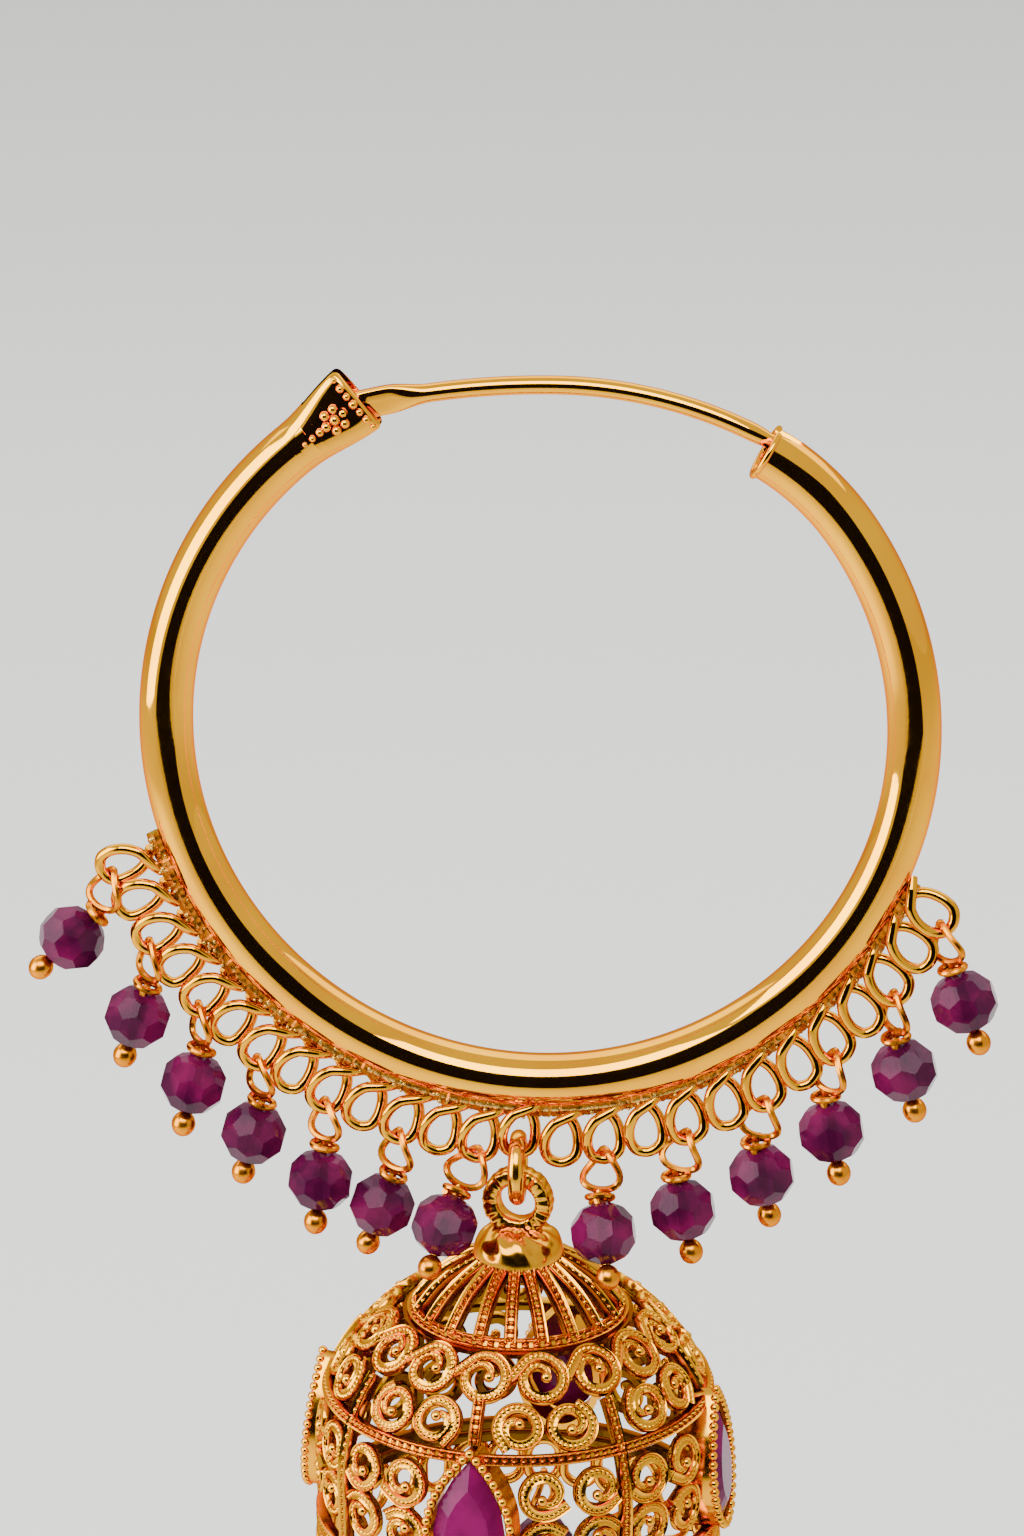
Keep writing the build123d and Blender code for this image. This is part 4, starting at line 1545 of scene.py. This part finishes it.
@dataclass
class Bell:
    """The pierced bell: ring, cap, ribbed crown, dome of scrolls, bezels and rim.

    Its own frame stands at the middle of its ring, with a stone to the front. turn is
    its turn about the upright in place. Every drop is a level below that middle, and a
    stand is how far a wire's middle lies off the dome. bezel_bead and scroll_ball are
    radii. wire is the wire of the scrolls, and rope that of the bands and uprights.
    """

    turn: float = -9.5
    ring_radius: float = 2.18
    ring_hole: float = 1.1
    ring_depth: float = 1.4
    ring_power: float = 0.55
    ring_ribs: int = 26
    cap_drop: float = 3.55
    cap_height: float = 2.15
    cap_radius: float = 2.75
    cap_power: float = 2.4
    cap_dent: float = 0.025
    crown_drop: float = 6.85
    crown_radius: float = 6.15
    crown_bulge: float = 0.38
    widest_drop: float = 15.6
    widest_radius: float = 12.1
    dome_height: float = 11.1
    rim_drop: float = 21.2
    rim_radius: float = 11.95
    band_drop: float = 11.9
    ribs: int = 20
    top_scroll_count: int = 16
    stones: int = 4
    rim_loops: int = 32
    rim_drops: int = 16
    rim_lace_radius: float = 11.9
    rim_loop_drop: float = 22.75
    rim_loop_turn: float = 10.0
    pin_stand: float = 0.61
    stone_drop: float = 16.3
    stone_face: float = 12.75
    stone_lean: float = 5.0
    stone_half_width: float = 2.2
    stone_point: float = 4.6
    stone_heel: float = 3.2
    bezel_bead: float = 0.3
    bezel_pitch: float = 0.56
    scroll_ball: float = 0.34
    rope_stand: float = 0.1
    rim_stand: float = 0.05
    arc_scale: float = 11.6
    wire: BeadedWire = BeadedWire(0.72, 0.66, 0.3, 4, shift=0.1, trough=0.32, shade_and_tarnish=0.45, end=0.6)
    rope: BeadedWire = BeadedWire(0.72, 0.8, 0.55, 6, shade_and_tarnish=0.8)
    rib_wire: BeadedWire = BeadedWire(0.78, 0.8, 0.5, 6, shade_and_tarnish=0.7)
    crown_wire: BeadedWire = BeadedWire(0.85, 0.85, 0.68, 6, shade_and_tarnish=0.8)

    def __post_init__(self) -> None:
        """Finds the ring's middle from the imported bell, whose top is the ring's."""
        self.origin = np.array([0.0, 0.0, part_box("bell")[1].z / MM - self.ring_radius])

    def placed(self, surface: Surface) -> Surface:
        """A surface from the bell's own frame, turned and hung in its place."""
        return surface.moved(about_z(self.turn)[0], self.origin)

    def rise(self, drop: float) -> float:
        """Distance up the dome's side from its widest level.

        Args:
            drop: the level that it goes to.

        Returns:
            The distance in millimetres, negative below the widest level.
        """
        if drop >= self.widest_drop:
            return self.widest_drop - drop
        return self.arc_scale * float(np.arcsin((self.widest_drop - drop) / self.dome_height))

    def dome(self, azimuth: Array, rise: Array) -> tuple[Array, Array]:
        """Points on the dome and the directions out of it.

        Above the widest level the side is an ellipse, r = a cos t and z = b sin t with
        t = rise / arc_scale. Below it the side drops straight, drawing in slightly.

        Args:
            azimuth: degrees from the front, of any shape.
            rise: millimetres up the side from the widest level, of the same shape.

        Returns:
            The points and the directions, each with a last axis of 3.
        """
        t = np.maximum(rise, 0) / self.arc_scale
        draw = (self.widest_radius - self.rim_radius) / (self.rim_drop - self.widest_drop)
        radius = self.widest_radius * np.cos(t) + draw * np.minimum(rise, 0)
        height = self.dome_height * np.sin(t) + np.minimum(rise, 0) - self.widest_drop
        turn = np.radians(azimuth)
        flat = np.stack([np.sin(turn), -np.cos(turn), 0 * turn], axis=-1)
        point = flat * radius[..., None]
        point[..., 2] = height
        normal = flat * (np.cos(t) / self.widest_radius)[..., None]
        normal[..., 2] = np.sin(t) / self.dome_height
        return point, unit(normal)

    def ring(self) -> Surface:
        """The ring at the top, a thick cast washer with a worked edge.

        Its edge is a rounded square, and fine ribs, radius * (1 - 0.02 g) with
        g = (1 - cos 26 a) / 2, run over its outer side. Dents, a sum of sines round it,
        lie on both faces and fade out towards the hole.

        Returns:
            The closed surface, with a recess between the ribs for painted shade and tarnish.
        """
        middle = (self.ring_radius + self.ring_hole) / 2
        deep = (self.ring_radius - self.ring_hole) / 2
        turn = full_turn(28)
        solid = turned(np.stack([
            middle + deep * signed_power(np.cos(turn), self.ring_power),
            self.ring_depth / 2 * signed_power(np.sin(turn), self.ring_power),
        ], axis=-1), 130)
        angle, reach = polar(solid)
        outer = ramp(reach, self.ring_hole, 2 * deep)
        groove = outer * (0.5 - 0.5 * np.cos(self.ring_ribs * angle))
        solid.points[:, 2] += np.sign(solid.points[:, 2]) * outer * ripple(angle, RING_DENTS)
        solid.points[:, :2] *= (1 - 0.02 * groove)[:, None]
        # Painted shade and tarnish, deepest between the ribs.
        solid.recess = 0.15 + 0.5 * groove ** 2
        return solid.moved(np.array([[1.0, 0, 0], [0, 0, -1.0], [0, 1.0, 0]]), np.zeros(3))

    def cap(self) -> Surface:
        """The smooth domed cap under the ring.

        Its outline is a quarter of a superellipse, |r / R|^2.4 + |h / H|^2.4 = 1, from
        the neck out to a rounded lip. Soft dents, a sum of sines round it that twists
        with the radius, unsettle it.

        Returns:
            The closed surface.
        """
        turn = np.linspace(0.42, np.pi / 2, 18)
        radius = self.cap_radius * np.sin(turn) ** (2 / self.cap_power)
        height = self.cap_height * np.cos(turn) ** (2 / self.cap_power) - self.cap_drop
        lip = np.array(CAP_LIP) + [self.cap_radius, -self.cap_drop]
        inner = np.array([[0.02, lip[-1, 1]], [0.02, height[0]]])
        solid = turned(np.concatenate([np.stack([radius, height], axis=-1), lip, inner]), 96)
        angle, reach = polar(solid)
        waves = ((1, 3, 0.6), (1, 7, 2 * reach), (1, 11, -4 * reach))
        solid.points[:, 2] += self.cap_dent * reach * ripple(angle, waves)
        return solid.shaded(0.25)

    def crown_path(self) -> tuple[Array, Array]:
        """A rib's line in the plane x = 0, on the front.

        The line is a chord from under the cap's edge to the crown ring, bowed out by a sine.

        Returns:
            The points of the line, and the direction out of it.
        """
        share = np.linspace(0, 1, 24)[:, None]
        top = np.array([self.cap_radius - 0.35, -self.cap_drop - 0.1])
        chord = np.array([self.crown_radius, -self.crown_drop + 0.1]) - top
        out = np.array([-chord[1], chord[0]]) / np.linalg.norm(chord)
        line = top + share * chord + self.crown_bulge * np.sin(np.pi * share) * out
        path = np.stack([0 * line[:, 0], -line[:, 0], line[:, 1]], axis=-1)
        return path, np.array([0.0, -out[0], out[1]])

    def crown(self) -> Surface:
        """The crown's ribs, the beaded ring at its foot and the plain shoulder below, darkened with painted
        shade.

        Returns:
            The three as one surface.
        """
        path, out = self.crown_path()
        ribs = repeated(self.rib_wire.along(path, out), self.ribs, 0.5)
        turn = full_turn(240)
        flat = np.stack([np.cos(turn), np.sin(turn), 0 * turn], axis=-1)
        path = flat * (self.crown_radius + 0.05) - UP * self.crown_drop
        ring = self.crown_wire.along(path, flat + UP * 0.9, True)
        # The plain shoulder under the crown's ring is darkened all over: painted shade under the ring.
        return joined([ribs, ring, turned(np.array(SHOULDER), 120).shaded(0.75)])

    def level_rope(self, drop: float, stand: float) -> Surface:
        """A beaded wire round the dome.

        Args:
            drop: its level.
            stand: how far its middle stands off the dome.

        Returns:
            The closed loop of wire.
        """
        azimuth = np.linspace(0, 360, 400, endpoint=False)
        path, out = self.dome(azimuth, np.full(len(azimuth), self.rise(drop)))
        return self.rope.along(path + out * stand, out, True)

    def uprights(self, azimuth: float, top: float, bottom: float) -> Surface:
        """Beaded wires down the dome, one for each stone.

        Args:
            azimuth: the first one's azimuth.
            top: level at which it starts.
            bottom: level at which it ends.

        Returns:
            The wires as one surface.
        """
        rise = np.linspace(self.rise(top), self.rise(bottom), 60)
        path, out = self.dome(np.full(len(rise), azimuth), rise)
        return repeated(self.rope.along(path + out * self.rope_stand, out), self.stones)

    def scroll(self, form: Scroll) -> Surface:
        """One scroll, laid on the dome, with the ball at its inner end.

        In the plane the wire's radius stays full for the first part of its turn and then
        falls: r = R (1 - 0.76 k), with k = ((s - 0.45) / 0.55)^1.2 past s = 0.45. The
        plane is laid on the dome by arc length along and across.

        Args:
            form: the scroll.

        Returns:
            Its wire and its ball.
        """
        share = np.linspace(0, 1, 160)
        radius = form.radius * (1 - 0.76 * ramp(share, 0.45, 0.55) ** 1.2)
        angle = np.radians(form.start + 360 * form.turns * share)
        flat = np.stack([radius * np.cos(angle), radius * np.sin(angle)], axis=-1)
        back = unit(flat[:1] - flat[1:2])
        tail = flat[:1] + back * np.linspace(form.tail, 0.05, 8)[:, None]
        flat = np.concatenate([tail, flat])
        rise = self.rise(form.drop)
        middle = self.dome(np.zeros(1), np.full(1, rise))[0][0]
        azimuth = form.azimuth + np.degrees(flat[:, 0] / np.linalg.norm(middle[:2]))
        path, out = self.dome(azimuth, rise + flat[:, 1])
        wire = self.wire.along(path, out, way=-np.sign(form.turns))
        knob = ball(self.scroll_ball, 10, 6)
        knob.points += path[-1] + out[-1] * 0.12
        return joined([wire, knob])

    def scrolls(self, rows: slice) -> Surface:
        """Scrolls of the half panels, mirrored beside each stone.

        Args:
            rows: which of the half panel's scrolls to make.

        Returns:
            The scrolls round the whole bell.
        """
        made = [self.scroll(twin) for form in HALF_PANEL[rows] for twin in (form, form.mirrored())]
        return repeated(joined(made), self.stones)

    def top_scrolls(self) -> Surface:
        """The row under the crown, all curling the same way."""
        return repeated(self.scroll(TOP_SCROLL), self.top_scroll_count)

    def pear(self, grow: float, count: int) -> tuple[Array, float]:
        """The pear outline in its stone's own plane, point up.

        Below, it is half an ellipse. Above, x = w (1 - h^2) and y = p h for h = sin a.

        Args:
            grow: margin left round the stone.
            count: number of points.

        Returns:
            Evenly spaced points, (n, 2), and the outline's length.
        """
        turn = full_turn(240) + np.pi / 2
        height = np.sin(turn)
        above = height > 0
        up = np.where(above, self.stone_point + 1.4 * grow, self.stone_heel + grow) * height
        shape = np.where(above, (1 - height ** 2) * np.sign(np.cos(turn)), np.cos(turn))
        wide = (self.stone_half_width + grow) * shape
        line, length = resampled(np.stack([wide, up, 0 * up], axis=-1), count, True)
        return line[:, :2], length

    def stone_ways(self) -> tuple[Array, Array]:
        """The directions out of the front stone's face and up along it."""
        lean = np.radians(self.stone_lean)
        return np.array([0, -np.cos(lean), np.sin(lean)]), np.array([0, np.sin(lean), np.cos(lean)])

    def on_stone(self, flat: Array, lift: float) -> Array:
        """Points over the front stone's face, in the bell's frame.

        Args:
            flat: points of the stone's own plane, (n, 2).
            lift: how far they stand out of the face.

        Returns:
            The points, (n, 3).
        """
        out, up = self.stone_ways()
        origin = np.array([0, -self.stone_face, -self.stone_drop])
        return origin + flat[:, :1] * np.array([1.0, 0, 0]) + flat[:, 1:] * up + lift * out

    def bezels(self) -> Surface:
        """Bezels round the stones: a wall with a beaded edge.

        The wall is a band of upright section along the pear outline. A row of small balls
        stands on its edge.

        Returns:
            The bezels of all stones.
        """
        outline, length = self.pear(0.3, 96)
        wall = carried(self.on_stone(outline, -0.85), np.array(BEZEL_SECTION), self.stone_ways()[0], True)
        count = int(length / self.bezel_pitch)
        spots = self.on_stone(self.pear(0.38, count)[0], 0.02)
        beads = copies(ball(self.bezel_bead, 10, 6), sized(np.ones(count)), spots)
        return repeated(joined([wall, beads]), self.stones)

    def rim(self) -> Surface:
        """The rim: two beaded wires, one above the other."""
        return joined([self.level_rope(self.rim_drop - above, self.rim_stand) for above in (0.95, 0.1)])

    def rim_lace(self) -> Surface:
        """The wire loops soldered under the rim.

        Returns:
            The loops round the whole rim, each turned a little about the upright.
        """
        place = np.array([0, -self.rim_lace_radius, -self.rim_loop_drop])
        loop = LaceRing().surface().moved(about_z(self.rim_loop_turn)[0], place)
        return repeated(loop, self.rim_loops, 0.5)

    def rim_pins(self) -> Surface:
        """The pins of the drops under the rim.

        Returns:
            The pins round the whole rim, one in every other loop of the lace.
        """
        level = self.pin_stand - self.rim_loop_drop - LaceRing().half_height
        pin = HeadPin().surface(np.array([0, -self.rim_lace_radius, level]), RIM_DROP)
        return repeated(pin, self.rim_drops, 0.25)


# ---------------------------------------------------------------- studio

@dataclass
class Studio:
    """A pale floor, soft lights, a dark card for contrast, and the camera.

    Places and sizes are in millimetres and angles in degrees. middle is the point at the
    middle of the earring that the windows face.
    """

    camera_place: Triple = (21.94, -317.49, 83.05)
    azimuth: float = 4.02
    pitch: float = 18.37
    lens: float = 133.6
    floor_z: float = -260.0
    middle: Triple = (0, 0, -35)
    white: str = "#FFFFFF"

    def card(
        self, name: str, centre: Triple, size: Pair, facing: Triple, material: bpy.types.Material,
    ) -> bpy.types.Object:
        """Sets up a flat card.

        Args:
            name: the card's name.
            centre: its middle.
            size: its width and height.
            facing: the point that it faces.
            material: its material.

        Returns:
            The card.
        """
        mesh = bpy.data.meshes.new(name)
        w, h = size[0] / 2 * MM, size[1] / 2 * MM
        mesh.from_pydata([(-w, -h, 0), (w, -h, 0), (w, h, 0), (-w, h, 0)], [], [(0, 1, 2, 3)])
        mesh.materials.append(material)
        card = bpy.data.objects.new(name, mesh)
        turn = (Vector(facing) - Vector(centre)).to_track_quat("Z", "Y").to_matrix().to_4x4()
        card.matrix_world = Matrix.Translation(Vector(centre) * MM) @ turn
        bpy.context.scene.collection.objects.link(card)
        return card

    def matt(self, name: str, colour: str) -> bpy.types.Material:
        """A matt material, paper or felt.

        Args:
            name: its name.
            colour: its colour, as # and six hex digits.

        Returns:
            The new material.
        """
        material, _, shader = new_material(name)
        shader.inputs["Base Color"].default_value = linear(colour)
        shader.inputs["Roughness"].default_value = 0.9
        shader.inputs["Specular IOR Level"].default_value = 0.1
        return material

    def light(self, name: str, place: Triple, aim: Triple, size: Pair, watts: float) -> None:
        """Sets up a white, rectangular soft light.

        Args:
            name: the light's name.
            place: its middle.
            aim: the point that it faces.
            size: its width and height.
            watts: its power.
        """
        lamp = bpy.data.lights.new(name, "AREA")
        lamp.shape = "RECTANGLE"
        lamp.size, lamp.size_y = size[0] * MM, size[1] * MM
        lamp.energy = watts
        lamp.color = linear(self.white)[:3]
        holder = bpy.data.objects.new(name, lamp)
        holder.location = Vector(place) * MM
        holder.rotation_euler = (Vector(aim) - Vector(place)).to_track_quat("-Z", "Y").to_euler()
        bpy.context.scene.collection.objects.link(holder)

    def sky(self) -> None:
        """Sets a pale, even world round the scene."""
        world = bpy.data.worlds.new("pale room")
        world.use_nodes = True
        background = world.node_tree.nodes["Background"]
        background.inputs["Color"].default_value = linear("#F4F4F2")
        background.inputs["Strength"].default_value = 1.08
        bpy.context.scene.world = world

    def camera(self) -> None:
        """Sets the camera, on a 36 mm wide sensor."""
        camera = bpy.data.cameras.new("camera")
        camera.lens = self.lens
        camera.sensor_width = 36.0
        camera.clip_start, camera.clip_end = 0.01, 20.0
        holder = bpy.data.objects.new("camera", camera)
        holder.location = Vector(self.camera_place) * MM
        holder.rotation_euler = (np.radians(90 - self.pitch), 0, np.radians(self.azimuth))
        bpy.context.scene.collection.objects.link(holder)
        bpy.context.scene.camera = holder

    def build(self) -> None:
        """Sets the sky, the floor, the dark card, the lights and the camera."""
        self.sky()
        paper = self.matt("pale paper", "#ECECEA")
        self.card("floor", (0, 1500, self.floor_z), (9000, 9000), (0, 1500, 1000), paper)
        felt = self.matt("dark felt", "#0C0A08")
        dark = self.card("dark card", (0, -470, 15), (800, 440), (0, 0, -20), felt)
        dark.visible_camera = False
        self.light("front window", (-60, -400, 400), self.middle, (620, 330), 4.6)
        self.light("left window", (-420, -160, 60), self.middle, (320, 420), 3.2)
        self.light("background light", (0, 560, 480), (0, 640, self.floor_z), (1500, 800), 7.5)
        self.camera()


# ---------------------------------------------------------------- assembly


def dress_hoop(dressing: Dressing) -> None:
    """Makes the hoop, its lace and its small drops.

    Args:
        dressing: makes the pieces.
    """
    line = HoopLine()
    tube = HoopTube(line)
    lace = Lace(line)
    dressing.piece("hoop_tube", tube.tube(), Body.HOOP, Slot.POLISHED, ("hoop",))
    dressing.piece("hinge_end", tube.crimp(), Body.HOOP, Slot.POLISHED)
    dressing.piece("mouth_lip", tube.lip(), Body.HOOP, Slot.POLISHED)
    dressing.piece("lace_coil", lace.coil(), Body.HOOP, Slot.POLISHED)
    seam = dressing.piece("lace_strip", lace.strip(), Body.HOOP, Slot.CAST)
    # The seam is rough like the castings, but its plating lies on hard solder.
    seam.data.materials[0] = SOLDER_GOLD.material()
    dressing.finish_node("hinge_pin", Slot.POLISHED)
    for number, surface in enumerate(HoopDrops(lace).pins(), start=1):
        dressing.piece(f"head_pin_{number}", surface, Body.HOOP, Slot.PIN, (f"drop_pin_{number}",))
        dressing.finish_node(f"drop_bead_{number}", Slot.BEAD)


def dress_ear_wire_and_link(dressing: Dressing) -> None:
    """Makes the ear wire and the round link.

    Args:
        dressing: makes the pieces.
    """
    wire = EarWire()
    shape = joined([wire.wire_surface(), wire.eye_surface()])
    dressing.piece("ear_wire_shape", shape, Body.EAR_WIRE, Slot.POLISHED, ("ear_wire",))
    dressing.piece("round_link", JumpLink().surface(), Body.LINK, Slot.CAST, ("jump_link",))


def dress_bell(dressing: Dressing) -> None:
    """Makes the bell with its stones and its rim's drops.

    Args:
        dressing: makes the pieces.
    """
    bell = Bell()
    parts = {
        "bell_ring": bell.ring(),
        "bell_cap": bell.cap(),
        "bell_crown": bell.crown(),
        "bell_top_scrolls": bell.top_scrolls(),
        "bell_upper_scrolls": bell.scrolls(slice(0, 2)),
        "bell_lower_scrolls": bell.scrolls(slice(2, 6)),
        "bell_band": bell.level_rope(bell.band_drop, bell.rope_stand),
        "bell_long_uprights": bell.uprights(45.0, 9.2, bell.rim_drop),
        "bell_short_uprights": bell.uprights(0.0, 8.9, 11.2),
        "bell_bezels": bell.bezels(),
        "bell_rim": bell.rim(),
        "bell_rim_lace": bell.rim_lace(),
    }
    for name, surface in parts.items():
        stands_for = ("bell",) if name == "bell_ring" else ()
        dressing.piece(name, bell.placed(surface), Body.BELL, Slot.CAST, stands_for)
    dressing.piece("rim_head_pins", bell.placed(bell.rim_pins()), Body.BELL, Slot.PIN, ("rim_pins",))
    dressing.finish_node("rim_beads", Slot.BEAD)
    for number in range(bell.stones):
        dressing.finish_node(f"pear_stone_{number + 1}", Slot.PEAR)


def main() -> None:
    """Builds and dresses the sub-assemblies in order."""
    dressing = Dressing()
    dress_hoop(dressing)
    dress_ear_wire_and_link(dressing)
    dress_bell(dressing)
    Studio().build()


if __name__ == "__main__":
    main()
